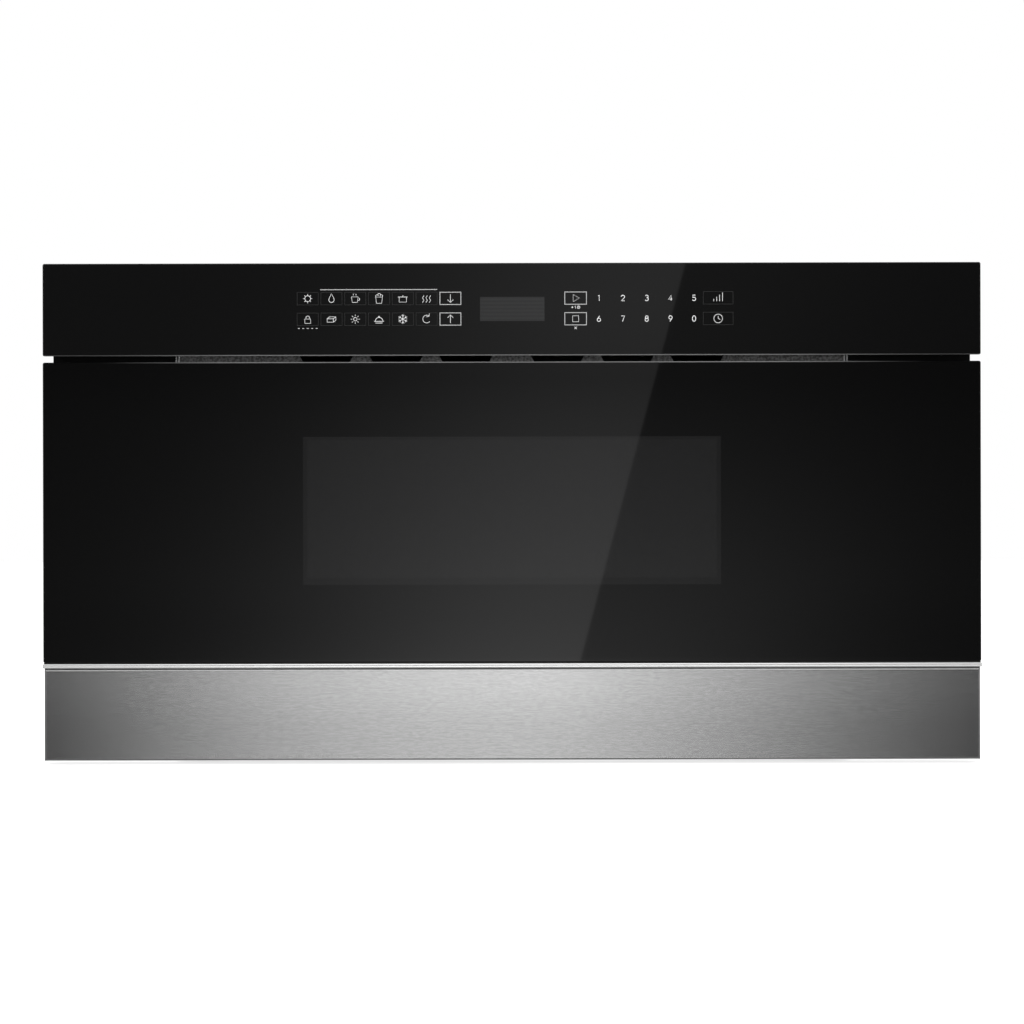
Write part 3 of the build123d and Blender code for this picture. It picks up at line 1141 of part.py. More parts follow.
def display_module():
    bottom = PANEL_MIDDLE - DISPLAY_HEIGHT / 2
    body = centred(DISPLAY_WIDTH / 2, GLASS_BACK, DISPLAY_BACK, bottom, bottom + DISPLAY_HEIGHT)
    pin = centred(PIN / 2, DISPLAY_BACK, CONTROL_Y, bottom + PIN, bottom + 2 * PIN)
    return body + [Pos(x, 0, 0) * pin for x in row(0, PIN_PITCH, DISPLAY_PIN_COUNT)]


def touch_board():
    half = TOUCH_HEIGHT / 2
    back = GLASS_BACK + TOUCH_SHEET
    hole = DISPLAY_HEIGHT / 2 + TOUCH_PLAY
    board = centred(TOUCH_WIDTH / 2, GLASS_BACK, back, PANEL_MIDDLE - half, PANEL_MIDDLE + half)
    return board - centred(
        DISPLAY_WIDTH / 2 + TOUCH_PLAY, GLASS_BACK - 1, back + 1, PANEL_MIDDLE - hole, PANEL_MIDDLE + hole
    )


def control_board():
    back = CONTROL_Y + BOARD_SHEET
    width = CONTROL_WIDTH / 2
    height = CONTROL_HEIGHT / 2
    board = centred(width, CONTROL_Y, back, PANEL_MIDDLE - height, PANEL_MIDDLE + height)
    chip = Box(CHIP_WIDTH, CHIP_HEIGHT, CHIP_LENGTH)
    for x in spread(-width * 0.75, width * 0.75, CHIP_COUNT):
        board += Pos(x, back + CHIP_HEIGHT / 2, PANEL_MIDDLE + height * 0.4) * chip
    for x in spread(-width * 0.6, width * 0.6, BUTTON_CAP_COUNT):
        board += round_y(CHIP_HEIGHT, back, back + CHIP_HEIGHT, x, PANEL_MIDDLE - height * 0.6)
    return board


# ---- Drawer front ----
def door_screw_places():
    inset = DOOR_WALL + BOSS_INSET
    side_x = FRAME_HALF - inset
    high = FRAME_TOP - inset
    low = FRAME_BOTTOM + inset
    places = [(side * side_x, z) for side in (-1, 1) for z in spread(low, high, 5)]
    return places + [(x, low) for x in spread(-side_x / 2, side_x / 2, 3)]


def door_screw_place(x, z):
    return Pos(x, DOOR_BACK, z) * Rot(-90, 0, 0)


def door_frame():
    """The moulded body behind the glass and the steel band, stepped back behind the band."""
    step = DOOR_GLASS_BOTTOM
    body = centred(FRAME_HALF, GLASS_BACK, FRAME_BACK, step, FRAME_TOP)
    body += centred(FRAME_HALF, FRAME_STEP, FRAME_BACK, FRAME_BOTTOM, step)
    inside = FRAME_HALF - DOOR_WALL
    upper = step + DOOR_WALL
    body -= centred(inside, GLASS_BACK + DOOR_WALL, FRAME_BACK + 1, upper, FRAME_TOP - DOOR_WALL)
    body -= centred(inside, FRAME_STEP + DOOR_WALL, FRAME_BACK + 1, FRAME_BOTTOM + DOOR_WALL, upper)
    body -= centred(WINDOW_WIDTH / 2, GLASS_BACK - 1, GLASS_BACK + 2 * DOOR_WALL, WINDOW_BOTTOM, WINDOW_TOP)
    for x, z in door_screw_places():
        start = GLASS_BACK if z > upper + BOSS_RADIUS else FRAME_STEP
        body += round_y(BOSS_RADIUS, start + DOOR_WALL, FRAME_BACK, x, z)
    return body - holes([door_screw_place(x, z) for x, z in door_screw_places()], DOOR_SCREW_REACH)


def ring(half, inner_half, y0, y1, bottom, top, inner_bottom, inner_top):
    outer = centred(half, y0, y1, bottom, top)
    return outer - centred(inner_half, y0 - 1, y1 + 1, inner_bottom, inner_top)


def choke_ring(y0, y1, edge):
    """The ring over the choke channel, with its edges moved in by edge on both sides."""
    return ring(
        SEAL_HALF - edge,
        CAVITY_HALF + CHOKE_INSET + edge,
        y0,
        y1,
        CAVITY_FLOOR - SEAL_WIDTH + edge,
        CAVITY_TOP + SEAL_WIDTH - edge,
        CAVITY_FLOOR - CHOKE_INSET - edge,
        CAVITY_TOP + CHOKE_INSET + edge,
    )


def door_inner_panel():
    panel = centred(FRAME_HALF, FRAME_BACK, DOOR_BACK, FRAME_BOTTOM, FRAME_TOP)
    panel += choke_ring(DOOR_BACK - CHOKE_DEPTH, DOOR_BACK, 0)
    panel -= choke_ring(DOOR_BACK - CHOKE_DEPTH + SHEET, DOOR_BACK + 1, SHEET)
    panel -= centred(WINDOW_WIDTH / 2, FRAME_BACK - 1, DOOR_BACK + 1, WINDOW_BOTTOM, WINDOW_TOP)
    return panel - holes([door_screw_place(x, z) for x, z in door_screw_places()], DOOR_SCREW_REACH)


def choke_cover():
    return choke_ring(DOOR_BACK - CHOKE_COVER_THICK, DOOR_BACK, SHEET)


def door_screws():
    return group([door_screw_place(x, z) * screw(DOOR_SCREW_REACH) for x, z in door_screw_places()])


def window_sheet(y0, y1):
    return centred(WINDOW_WIDTH / 2 + WINDOW_LAP, y0, y1, WINDOW_BOTTOM - WINDOW_LAP, WINDOW_TOP + WINDOW_LAP)


def door_trim():
    """A strip with two rounded ridges, a groove between them and a tongue behind the band."""
    half = FRONT_WIDTH / 2 + TRIM_OVERHANG
    ridge = TRIM_HEIGHT / 4
    middle = TRIM_BOTTOM + TRIM_HEIGHT / 2
    head = centred(half, ridge, TRIM_HEAD, TRIM_BOTTOM, TRIM_BOTTOM + TRIM_HEIGHT)
    for z in (middle - ridge, middle + ridge):
        head += round_x(ridge, -half, half, ridge, z)
    outline = Pos(0, TRIM_HEAD) * RectangleRounded(2 * half, 2 * TRIM_HEAD, ridge * 1.5)
    plan = Pos(0, 0, TRIM_BOTTOM - 1) * extrude(outline, TRIM_HEIGHT + 2)
    tongue = centred(FRAME_HALF, TRIM_HEAD, FRAME_STEP, middle - TRIM_TONGUE / 2, middle + TRIM_TONGUE / 2)
    return (head & plan) + tongue


def door_band():
    half = FRONT_WIDTH / 2 - BAND_INSET
    band = centred(half, GLASS_FACE, FRAME_STEP, FRONT_BOTTOM, BAND_TOP)
    band = fillet(band.faces().sort_by(Axis.Y)[0].edges(), BAND_BEND)
    bottom = FRONT_BOTTOM + BAND_SHEET
    top = BAND_TOP - BAND_SHEET
    return band - centred(half - BAND_SHEET, GLASS_FACE + BAND_SHEET, FRAME_STEP + 1, bottom, top)


def door_bumpers():
    x = FRAME_HALF - DOOR_WALL - BUMPER_RADIUS * 3
    high = FRAME_TOP - BUMPER_RADIUS * 3
    low = FRAME_BOTTOM + BUMPER_RADIUS * 4
    y1 = FLANGE_FACE - BUMPER_PLAY
    places = [(side * x, z) for side in (-1, 1) for z in (low, high)]
    return group([round_y(BUMPER_RADIUS, DOOR_BACK, y1, x, z) for x, z in places])


# ---- Basket ----
def basket_block(grow, y0, y1, z0, z1, corner):
    """A block with the basket's plan, grown sideways and rearwards, with rounded rear corners."""
    body = centred(BASKET_HALF + grow, y0, y1 + grow, z0, z1)
    return fillet(body.edges().filter_by(Axis.Z).sort_by(Axis.Y)[-2:], corner)


def basket():
    outer = basket_block(0, DOOR_BACK, BASKET_BACK, BASKET_BOTTOM, BASKET_TOP, BASKET_CORNER)
    bottom_edges = outer.faces().sort_by(Axis.Z)[0].edges().sort_by(Axis.Y)[1:]
    outer = fillet(bottom_edges, BASKET_FOOT_BEND)
    floor_top = BASKET_BOTTOM + BASKET_WALL
    rim_bottom = BASKET_TOP - BASKET_WALL
    above = BASKET_TOP + 1
    front = DOOR_BACK + BASKET_WALL
    inside_corner = BASKET_CORNER - BASKET_WALL
    rim = basket_block(BASKET_LIP, DOOR_BACK, BASKET_BACK, rim_bottom, BASKET_TOP, BASKET_CORNER + BASKET_LIP)
    inner = basket_block(-BASKET_WALL, front, BASKET_BACK, floor_top, above, inside_corner)
    sill_top = BASKET_BOTTOM + BASKET_SILL
    sill = centred(BASKET_HALF - BASKET_WALL, DOOR_BACK - 1, front + BASKET_WALL, sill_top, above)
    return outer + rim - inner - sill


def basket_floor():
    z0 = BASKET_BOTTOM + BASKET_WALL
    inset = BASKET_WALL + TRAY_PLAY
    tray = basket_block(-inset, DOOR_BACK + inset, BASKET_BACK, z0, z0 + TRAY_THICK, BASKET_CORNER - inset)
    return chamfer(tray.faces().sort_by(Axis.Z)[-1].edges(), TRAY_CHAMFER)


# ---- Every piece, by name ----
def pieces():
    right_side = side_panel()
    right_middle = middle_rail()
    right_plunger = interlock_plunger()
    outer_race = RAIL_HALF - RAIL_SHEET - RACE / 2
    inner_race = MIDDLE_HALF - RAIL_SHEET - RACE / 2
    return {
        "base_pan": base_pan(),
        "base_feet": base_feet(),
        "side_panel_left": mirror(right_side, Plane.YZ),
        "side_panel_right": right_side,
        "top_cover": top_cover(),
        "rear_panel": rear_panel(),
        "case_screws": case_screws(),
        "cord_gland": cord_gland(),
        "front_flange": front_flange(),
        "cavity_liner": cavity_liner(),
        "ceramic_floor": ceramic_floor(),
        "exhaust_duct": exhaust_duct(),
        "vent_grille": vent_grille(),
        "waveguide": waveguide(),
        "magnetron": magnetron(),
        "antenna_motor": antenna_motor(),
        "antenna_rotor": antenna_rotor(),
        "fan_housing": fan_housing(),
        "fan_motor": fan_motor(),
        "fan_impeller": fan_impeller(),
        "hv_transformer": hv_transformer(),
        "hv_capacitor": hv_capacitor(),
        "power_board": power_board(),
        "cavity_lamp": cavity_lamp(),
        "thermal_cutouts": thermal_cutouts(),
        "outer_rails": group(both_sides(outer_rail())),
        "middle_rail_left": mirror(right_middle, Plane.YZ),
        "middle_rail_right": right_middle,
        "inner_rails": group(both_sides(inner_rail())),
        "ball_cages_outer": ball_cages(outer_race, OUTER_CAGE_Y),
        "ball_cages_inner": ball_cages(inner_race, RAIL_MIDDLE),
        "arm_brackets": group(both_sides(arm_bracket())),
        "rack_beam": rack_beam(),
        "drive_rack": drive_rack(),
        "output_gear": output_gear(),
        "idler_gear": idler_gear(),
        "motor_gear": motor_gear(),
        "drive_housing": drive_housing(),
        "drive_motor": drive_motor(),
        "strikers": group(both_sides(striker())),
        "interlock_plunger_left": mirror(right_plunger, Plane.YZ),
        "interlock_plunger_right": right_plunger,
        "interlock_switches": group(both_sides(interlock_switch())),
        "panel_housing": panel_housing(),
        "panel_glass": glass_sheet(PANEL_BOTTOM, PANEL_TOP),
        "display_module": display_module(),
        "touch_board": touch_board(),
        "control_board": control_board(),
        "door_glass": glass_sheet(DOOR_GLASS_BOTTOM, DOOR_GLASS_TOP),
        "door_band": door_band(),
        "door_trim": door_trim(),
        "door_frame": door_frame(),
        "window_screen": window_sheet(GLASS_BACK + DOOR_WALL, GLASS_BACK + DOOR_WALL + SCREEN_SHEET),
        "window_pane": window_sheet(FRAME_BACK - PANE_THICK, FRAME_BACK),
        "door_inner_panel": door_inner_panel(),
        "choke_cover": choke_cover(),
        "door_screws": door_screws(),
        "door_bumpers": door_bumpers(),
        "basket": basket(),
        "basket_floor": basket_floor(),
    }


os.makedirs("parts", exist_ok=True)
for name, shape in pieces().items():
    export_step(Pos(0, -DEPTH / 2, 0) * shape, f"parts/{name}.step")
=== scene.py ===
import json
import math

import bpy
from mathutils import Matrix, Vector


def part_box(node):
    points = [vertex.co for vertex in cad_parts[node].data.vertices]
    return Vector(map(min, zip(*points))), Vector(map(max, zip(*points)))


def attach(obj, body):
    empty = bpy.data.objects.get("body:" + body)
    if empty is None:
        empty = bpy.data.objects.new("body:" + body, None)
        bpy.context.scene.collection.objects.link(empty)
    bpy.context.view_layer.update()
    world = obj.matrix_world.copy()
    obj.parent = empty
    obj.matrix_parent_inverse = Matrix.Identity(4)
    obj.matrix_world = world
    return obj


# Looks for a 30-inch built-in microwave drawer. Metres: X to the viewer's right, Y from the front to the
# rear, Z up from the shelf.

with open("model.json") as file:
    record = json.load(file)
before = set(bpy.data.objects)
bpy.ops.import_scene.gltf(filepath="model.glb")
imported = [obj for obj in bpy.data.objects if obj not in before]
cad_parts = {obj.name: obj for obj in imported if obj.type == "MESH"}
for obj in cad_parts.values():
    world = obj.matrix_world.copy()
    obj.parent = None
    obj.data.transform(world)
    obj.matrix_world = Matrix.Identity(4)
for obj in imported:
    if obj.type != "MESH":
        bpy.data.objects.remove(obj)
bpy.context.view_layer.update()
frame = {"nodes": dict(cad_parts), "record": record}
NODES = frame["nodes"]

# ---- Camera ----
GLASS_Y = -0.2965  # front face of both glass sheets
CAMERA_HEIGHT = 0.2036
CAMERA_REACH = 3.0  # camera to glass
CAMERA_ROLL = 0.12  # degrees
SENSOR_WIDTH = 36.0  # mm
LENS = 130.4  # mm
camera = bpy.data.objects.new("camera", bpy.data.cameras.new("camera"))
bpy.context.scene.collection.objects.link(camera)
bpy.context.scene.camera = camera
camera.location = (0.0, GLASS_Y - CAMERA_REACH, CAMERA_HEIGHT)
camera.rotation_euler = (math.radians(90), math.radians(CAMERA_ROLL), 0.0)
camera.data.sensor_width = SENSOR_WIDTH
camera.data.lens = LENS
bpy.context.scene.view_settings.view_transform = "Standard"


# ---- Shader helpers ----
class Socket:
    """One output socket. Sums on it add Math nodes."""

    def __init__(self, maker, socket):
        self.maker = maker
        self.socket = socket

    def __getitem__(self, name):
        return Socket(self.maker, self.socket.node.outputs[name])

    def __add__(self, other):
        return self.maker.math("ADD", self, other)

    __radd__ = __add__

    def __sub__(self, other):
        return self.maker.math("SUBTRACT", self, other)

    def __rsub__(self, other):
        return self.maker.math("SUBTRACT", other, self)

    def __mul__(self, other):
        return self.maker.math("MULTIPLY", self, other)

    __rmul__ = __mul__

    def __truediv__(self, other):
        return self.maker.math("DIVIDE", self, other)

    def __lt__(self, other):
        return self.maker.math("LESS_THAN", self, other)

    def __abs__(self):
        return self.maker.math("ABSOLUTE", self)

    def __pow__(self, other):
        return self.maker.math("POWER", self, other)


class Maker:
    """Adds nodes to one node tree."""

    def __init__(self, tree):
        self.tree = tree
        tree.nodes.clear()

    def node(self, kind, settings, sockets, output=0):
        """A node of that kind: its settings first, then the values or links of its sockets."""
        node = self.tree.nodes.new("ShaderNode" + kind)
        for name, value in settings.items():
            if name == "stops":
                ramp = node.color_ramp
                while len(ramp.elements) < len(value):
                    ramp.elements.new(0.5)
                for element, (place, tone) in zip(ramp.elements, value):
                    element.position = place
                    element.color = (tone, tone, tone, 1.0)
            else:
                setattr(node, name, value)
        for name, value in sockets.items():
            if isinstance(value, Socket):
                self.tree.links.new(value.socket, node.inputs[name])
            elif isinstance(value, tuple) and len(value) == 3 and node.inputs[name].type == "RGBA":
                node.inputs[name].default_value = (*value, 1.0)
            else:
                node.inputs[name].default_value = value
        return Socket(self, node.outputs[output]) if len(node.outputs) else node

    def math(self, operation, a, b=0.0):
        return self.node("Math", {"operation": operation}, {0: a, 1: b})

    def step(self, value, low, high):
        """0 below low, 1 above high, smooth between."""
        settings = {"interpolation_type": "SMOOTHSTEP"}
        return self.node("MapRange", settings, {0: value, 1: low, 2: high, 3: 0.0, 4: 1.0})

    def ramp(self, value, stops):
        return self.node("ValToRGB", {"stops": stops}, {0: value})

    def mix(self, factor, a, b):
        return self.node("Mix", {"data_type": "RGBA"}, {0: factor, 6: a, 7: b}, output=2)

    def split(self, vector):
        """The X, Y and Z of a vector."""
        parts = self.node("SeparateXYZ", {}, {0: vector})
        return parts, parts["Y"], parts["Z"]


class Finish(Maker):
    """A material on one Principled shader, with its textures placed in metres on the piece."""

    def __init__(self, name):
        self.material = bpy.data.materials.new(name)
        self.material.use_nodes = True
        super().__init__(self.material.node_tree)
        self.place = self.node("TexCoord", {}, {}, output="Object")
        self.x, self.y, self.z = self.split(self.place)

    def stretched(self, stretch):
        return self.node("Mapping", {}, {"Vector": self.place, "Scale": stretch})

    def noise(self, scale, stretch=(1.0, 1.0, 1.0), detail=3.0, rough=0.55):
        """Cloudy values about 0.5; scale is in waves to the metre."""
        sockets = {"Vector": self.stretched(stretch), "Scale": scale, "Detail": detail, "Roughness": rough}
        return self.node("TexNoise", {}, sockets)

    def cells(self, scale):
        """Distance to the middle of the nearest cell, with as many cells to the metre as scale."""
        return self.node("TexVoronoi", {}, {"Vector": self.place, "Scale": scale})

    def bands(self, way, scale, distortion):
        """Even bands across one axis."""
        sockets = {"Vector": self.place, "Scale": scale, "Distortion": distortion}
        return self.node("TexWave", {"bands_direction": way}, sockets)

    def tone_of(self, cells):
        """A random value for each cell."""
        return self.node("SeparateColor", {}, {0: cells["Color"]})

    def within(self, value, middle, half, soft=0.0002):
        """1 where value is within half of middle."""
        return 1.0 - self.step(abs(value - middle), half - soft, half + soft)

    def bump(self, height, depth, under=None):
        """A normal from a height of 0 to 1, depth metres deep."""
        sockets = {"Height": height, "Distance": depth, "Strength": 1.0}
        if under is not None:
            sockets["Normal"] = under
        return self.node("Bump", {}, sockets)

    def done(self, **looks):
        """Closes the material: the looks are the Principled shader's sockets, with _ for a space."""
        sockets = {name.replace("_", " "): value for name, value in looks.items()}
        shader = self.node("BsdfPrincipled", {}, sockets)
        self.node("OutputMaterial", {}, {"Surface": shader})
        return self.material


# ---- Finishes of the front ----
WINDOW_HALF = 0.169
WINDOW_LOW = 0.1449
WINDOW_HIGH = 0.2646
SCREEN_LOW = 0.1505  # lower edge of the perforated field
FIELD_SIDE = 0.0035  # bare border of the window beside the field
FIELD_HEAD = 0.00225  # and above it
HOLES = 620.0  # to the metre
GLASS_BLACK = (0.0009, 0.0009, 0.00095)
SCREEN_GREY = (0.0102, 0.0102, 0.0104)
# grey of the sheets' edges along the gap: the ground edge, lifted as a painted highlight
GROUND_EDGE_HIGHLIGHT_GREY = (0.19, 0.19, 0.19)
PANEL_GLASS_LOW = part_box("panel_glass")[0].z
DOOR_GLASS_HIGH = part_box("door_glass")[1].z
EDGE_LINE = 0.0007  # ground edge of each sheet along the gap, painted pale there as a highlight


def front_glass():
    """Black-backed glass. In the drawer's window the perforated screen behind it shows, with a painted
    highlight along the window's top edge. The sheets' edges along the gap are pale as a painted highlight,
    lighter in the middle.
    """
    m = Finish("front_glass")
    middle = (WINDOW_LOW + WINDOW_HIGH) / 2
    window = m.within(m.x, 0.0, WINDOW_HALF) * m.within(m.z, middle, (WINDOW_HIGH - WINDOW_LOW) / 2)
    window = window * (m.y < GLASS_Y + 0.0002)
    field = m.within(m.x, 0.0, WINDOW_HALF - FIELD_SIDE)
    field = field * m.step(m.z, SCREEN_LOW - 0.0003, SCREEN_LOW + 0.0003)
    field_top = WINDOW_HIGH - FIELD_HEAD
    field = field * (1.0 - m.step(m.z, field_top - 0.00025, field_top + 0.00025))
    dots = m.cells(HOLES)
    web = m.step(dots, 0.25, 0.5)
    cloud = m.noise(60.0, detail=2.0)
    # painted highlight: a lighter line along the window's top edge
    rim_highlight = m.within(m.z, WINDOW_HIGH - 0.0007, 0.0005)
    shade = 0.62 + 0.26 * field + 0.34 * field * (web - 0.5) + 0.25 * (cloud - 0.5) + 0.2 * rim_highlight
    base = m.mix(window * shade, GLASS_BLACK, SCREEN_GREY)
    # painted highlight on the ground edges along the gap, fading towards the ends
    upper = m.within(m.z, PANEL_GLASS_LOW, EDGE_LINE) * (1.0 - 0.75 * m.step(abs(m.x), 0.18, 0.36))
    lower = m.within(m.z, DOOR_GLASS_HIGH, EDGE_LINE) * (1.0 - m.step(abs(m.x), 0.2, 0.34))
    ground_edge_and_highlight = upper + lower
    base = m.mix(ground_edge_and_highlight, base, GROUND_EDGE_HIGHLIGHT_GREY)
    haze = m.noise(9.0, detail=4.0)
    return m.done(
        Base_Color=base,
        Roughness=0.008 + 0.008 * haze + 0.25 * ground_edge_and_highlight,
        IOR=1.5,
        Normal=m.bump(m.noise(6.0, detail=0.0), 0.000002),
    )


BRUSH_GRAIN = (200.0, 900.0, 1100.0)  # short strokes to the metre along each way
LONG_GRAIN = (45.0, 900.0, 1100.0)
BEND_MIDDLE = 0.0016  # the band's upper bend, below its top
BEND_HALF = 0.0005
SIDE_BEND = 0.0009  # the bends at its ends


def stainless():
    """Steel brushed along X, with painted shade in its bent edges and towards the bottom of the band."""
    m = Finish("stainless")
    low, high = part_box("door_band")
    brush = m.noise(1.0, stretch=BRUSH_GRAIN, detail=0.0)
    long = m.noise(1.0, stretch=LONG_GRAIN, detail=1.0)
    streaks = 0.6 * m.step(brush, 0.3, 0.7) + 0.4 * m.step(long, 0.3, 0.7)
    # painted shade: the bent ends and the upper bent edge are darker, the upper one most towards the ends
    flat = m.within(m.x, 0.0, high.x - SIDE_BEND, 0.0004)
    bend_shade = m.within(m.z, high.z - BEND_MIDDLE, BEND_HALF) * (0.6 + 0.32 * m.step(abs(m.x), 0.12, 0.34))
    flat = flat * (1.0 - bend_shade)
    # painted shade: the band darkens towards its bottom edge
    tone = (0.79 + 0.18 * m.step(m.z, low.z + 0.018, high.z)) * (0.5 + 0.5 * flat)
    pale = m.mix(streaks, (0.63, 0.63, 0.63), (0.74, 0.74, 0.74))
    return m.done(
        Base_Color=m.mix(tone, (0.0, 0.0, 0.0), pale),
        Metallic=1.0,
        Roughness=0.12 + 0.004 * streaks,
        Anisotropic=0.8,
        Anisotropic_Rotation=0.25,
        Normal=m.bump(brush, 0.00000002),
    )


def bright_trim():
    """Drawn and polished aluminium."""
    m = Finish("bright_trim")
    lines = m.noise(1.0, stretch=(9.0, 1200.0, 3000.0), detail=2.0)
    return m.done(
        Base_Color=m.mix(lines, (0.95, 0.95, 0.95), (1.0, 1.0, 0.995)),
        Metallic=0.7,
        Roughness=0.05 + 0.03 * lines,
        Normal=m.bump(lines, 0.0000002),
    )


# ---- Finishes of the casing and the inside ----
def moulded(name, low, high, roughness, grain=2200.0, depth=0.00003):
    """Moulded plastic with a fine spark-eroded grain."""
    m = Finish(name)
    pits = m.noise(grain, detail=2.0)
    cloud = m.noise(25.0, detail=3.0)
    return m.done(
        Base_Color=m.mix(0.5 * pits + 0.5 * cloud, low, high),
        Roughness=roughness + 0.15 * (cloud - 0.5) + 0.1 * (pits - 0.5),
        Normal=m.bump(pits, depth),
    )


def sheet_metal(name, low, high, roughness, grain=(14.0, 900.0, 900.0), depth=0.000004):
    """Rolled or plated metal with faint lines along one way and clouds over it."""
    m = Finish(name)
    lines = m.noise(1.0, stretch=grain, detail=3.0)
    cloud = m.noise(18.0, detail=4.0)
    return m.done(
        Base_Color=m.mix(0.5 * lines + 0.5 * cloud, low, high),
        Metallic=1.0,
        Roughness=roughness + 0.16 * (cloud - 0.5) + 0.1 * (lines - 0.5),
        Normal=m.bump(lines, depth),
    )


def painted(name, low, high, roughness, speck=0.0, shine=0.5):
    """Enamel or paint on sheet, with orange peel and, where speck is given, fine specks."""
    m = Finish(name)
    peel = m.noise(420.0, detail=2.0)
    cloud = m.noise(12.0, detail=3.0)
    base = m.mix(cloud, low, high)
    if speck:
        grains = m.cells(900.0)
        spot = m.step(m.tone_of(grains), 0.86, 0.9) * (1.0 - m.step(grains, 0.25, 0.4))
        base = m.mix(spot * speck, base, (0.05, 0.05, 0.055))
    return m.done(
        Base_Color=base,
        Roughness=roughness + 0.12 * (cloud - 0.5) + 0.05 * (peel - 0.5),
        Specular_IOR_Level=shine,
        Normal=m.bump(peel, 0.00002),
    )


DUCT_SHADE_DEPTH = 0.35  # painted shade inside the exhaust duct, this far from its mouth
# width of the painted highlight on the duct's front edge
CUT_EDGE_HIGHLIGHT = 0.0002


def zinc_sheet():
    """Hot-dip zinc with its crystals. Inside, the exhaust duct is very dark as painted shade; its front edge
    is pale as a painted highlight.
    """
    m = Finish("zinc_sheet")
    crystal = m.cells(70.0)
    small = m.cells(190.0)
    tone = 0.6 * m.tone_of(crystal) + 0.4 * m.tone_of(small)
    cloud = m.noise(6.0, detail=4.0)
    low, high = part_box("exhaust_duct")
    # painted shade: very dark and not metal inside the exhaust duct, where its depth is in shade
    duct_shade = m.within(m.z, (low.z + high.z) / 2, (high.z - low.z) / 2 - 0.0005, 0.0001)
    duct_shade = duct_shade * m.within(m.x, 0.0, high.x - 0.0005, 0.0001) * (m.y < low.y + DUCT_SHADE_DEPTH)
    # painted highlight: the duct's front edge is pale and not metal, so it shows bright
    cut_edge_highlight = m.y < low.y + CUT_EDGE_HIGHLIGHT
    bare = m.mix(0.75 * tone + 0.25 * cloud, (0.40, 0.41, 0.43), (0.66, 0.67, 0.69))
    return m.done(
        Base_Color=m.mix(cut_edge_highlight, m.mix(duct_shade, bare, (0.004, 0.004, 0.004)), (0.8, 0.8, 0.8)),
        Metallic=(1.0 - duct_shade) * (1.0 - cut_edge_highlight),
        Roughness=0.34 + 0.16 * tone + 0.1 * (cloud - 0.5) + 0.3 * duct_shade,
        Normal=m.bump(tone, 0.000006, under=m.bump(m.noise(700.0), 0.000004)),
    )


def clear(name, tint, roughness):
    """Clear glass with a trace of haze."""
    m = Finish(name)
    haze = m.noise(22.0, detail=4.0)
    return m.done(
        Base_Color=m.mix(haze, tint, (0.96, 0.98, 0.97)),
        Roughness=roughness + 0.03 * haze,
        IOR=1.5,
        Transmission_Weight=1.0,
        Normal=m.bump(m.noise(30.0, detail=1.0), 0.000004),
    )


def frosted_tray():
    """Pale sea-green tempered glass, lightly frosted."""
    m = Finish("tray_glass")
    frost = m.noise(1300.0, detail=2.0)
    cloud = m.noise(8.0, detail=3.0)
    return m.done(
        Base_Color=m.mix(0.5 * frost + 0.5 * cloud, (0.50, 0.58, 0.555), (0.60, 0.67, 0.65)),
        Roughness=0.12 + 0.08 * cloud,
        IOR=1.5,
        Transmission_Weight=0.3,
        Normal=m.bump(frost, 0.00001),
    )


CORE_HALF = 0.0316  # half the depth of the iron core


def transformer_iron():
    """Laminated core with copper windings standing out of it front and back."""
    m = Finish("transformer_iron")
    low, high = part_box("hv_transformer")
    middle = (low.y + high.y) / 2
    outside = m.step(abs(m.y - middle), CORE_HALF - 0.0002, CORE_HALF + 0.0002)
    sheets = m.bands("Y", 330.0, 0.4)
    wires = m.bands("Z", 260.0, 0.2)
    cloud = m.noise(40.0, detail=4.0)
    iron = m.mix(0.5 * sheets["Fac"] + 0.5 * cloud, (0.05, 0.045, 0.04), (0.17, 0.15, 0.13))
    copper = m.mix(wires["Fac"], (0.16, 0.05, 0.02), (0.55, 0.22, 0.09))
    height = outside * wires["Fac"] + (1.0 - outside) * sheets["Fac"]
    return m.done(
        Base_Color=m.mix(outside, iron, copper),
        Metallic=0.55 * outside,
        Roughness=0.5 - 0.15 * outside + 0.15 * (cloud - 0.5),
        Normal=m.bump(height, 0.0001),
    )


def circuit_board():
    """Solder mask with tracks, and dark parts on it."""
    m = Finish("circuit_board")
    tracks = m.node(
        "TexBrick",
        {"offset": 0.37, "squash": 1.6},
        {"Vector": m.place, "Scale": 60.0, "Mortar Size": 0.06, "Bias": -0.3},
    )
    pads = 1.0 - m.step(m.cells(160.0), 0.12, 0.16)
    mask = m.mix(tracks["Fac"], (0.012, 0.07, 0.035), (0.03, 0.16, 0.07))
    return m.done(
        Base_Color=m.mix(pads * 0.8, mask, (0.55, 0.5, 0.4)),
        Metallic=0.6 * pads,
        Roughness=0.38 + 0.1 * (m.noise(300.0) - 0.5),
        Normal=m.bump(tracks["Fac"], 0.00003),
    )


def display_face():
    """The switched-off display behind the glass, with its faint rows."""
    m = Finish("display_face")
    rows = m.bands("Z", 105.0, 0.0)
    cloud = m.noise(40.0)
    tone = 0.75 * rows["Fac"] + 0.25 * cloud
    return m.done(
        Base_Color=m.mix(tone, (0.0185, 0.0187, 0.019), (0.0285, 0.0288, 0.0293)),
        Roughness=0.03 + 0.02 * cloud,
        IOR=1.5,
    )


def ink(name, low, high):
    """Screen-printed ink on the glass."""
    m = Finish(name)
    grain = m.noise(3500.0, detail=2.0)
    return m.done(
        Base_Color=m.mix(grain, low, high),
        Roughness=0.28 + 0.15 * grain,
        Normal=m.bump(grain, 0.000004),
    )


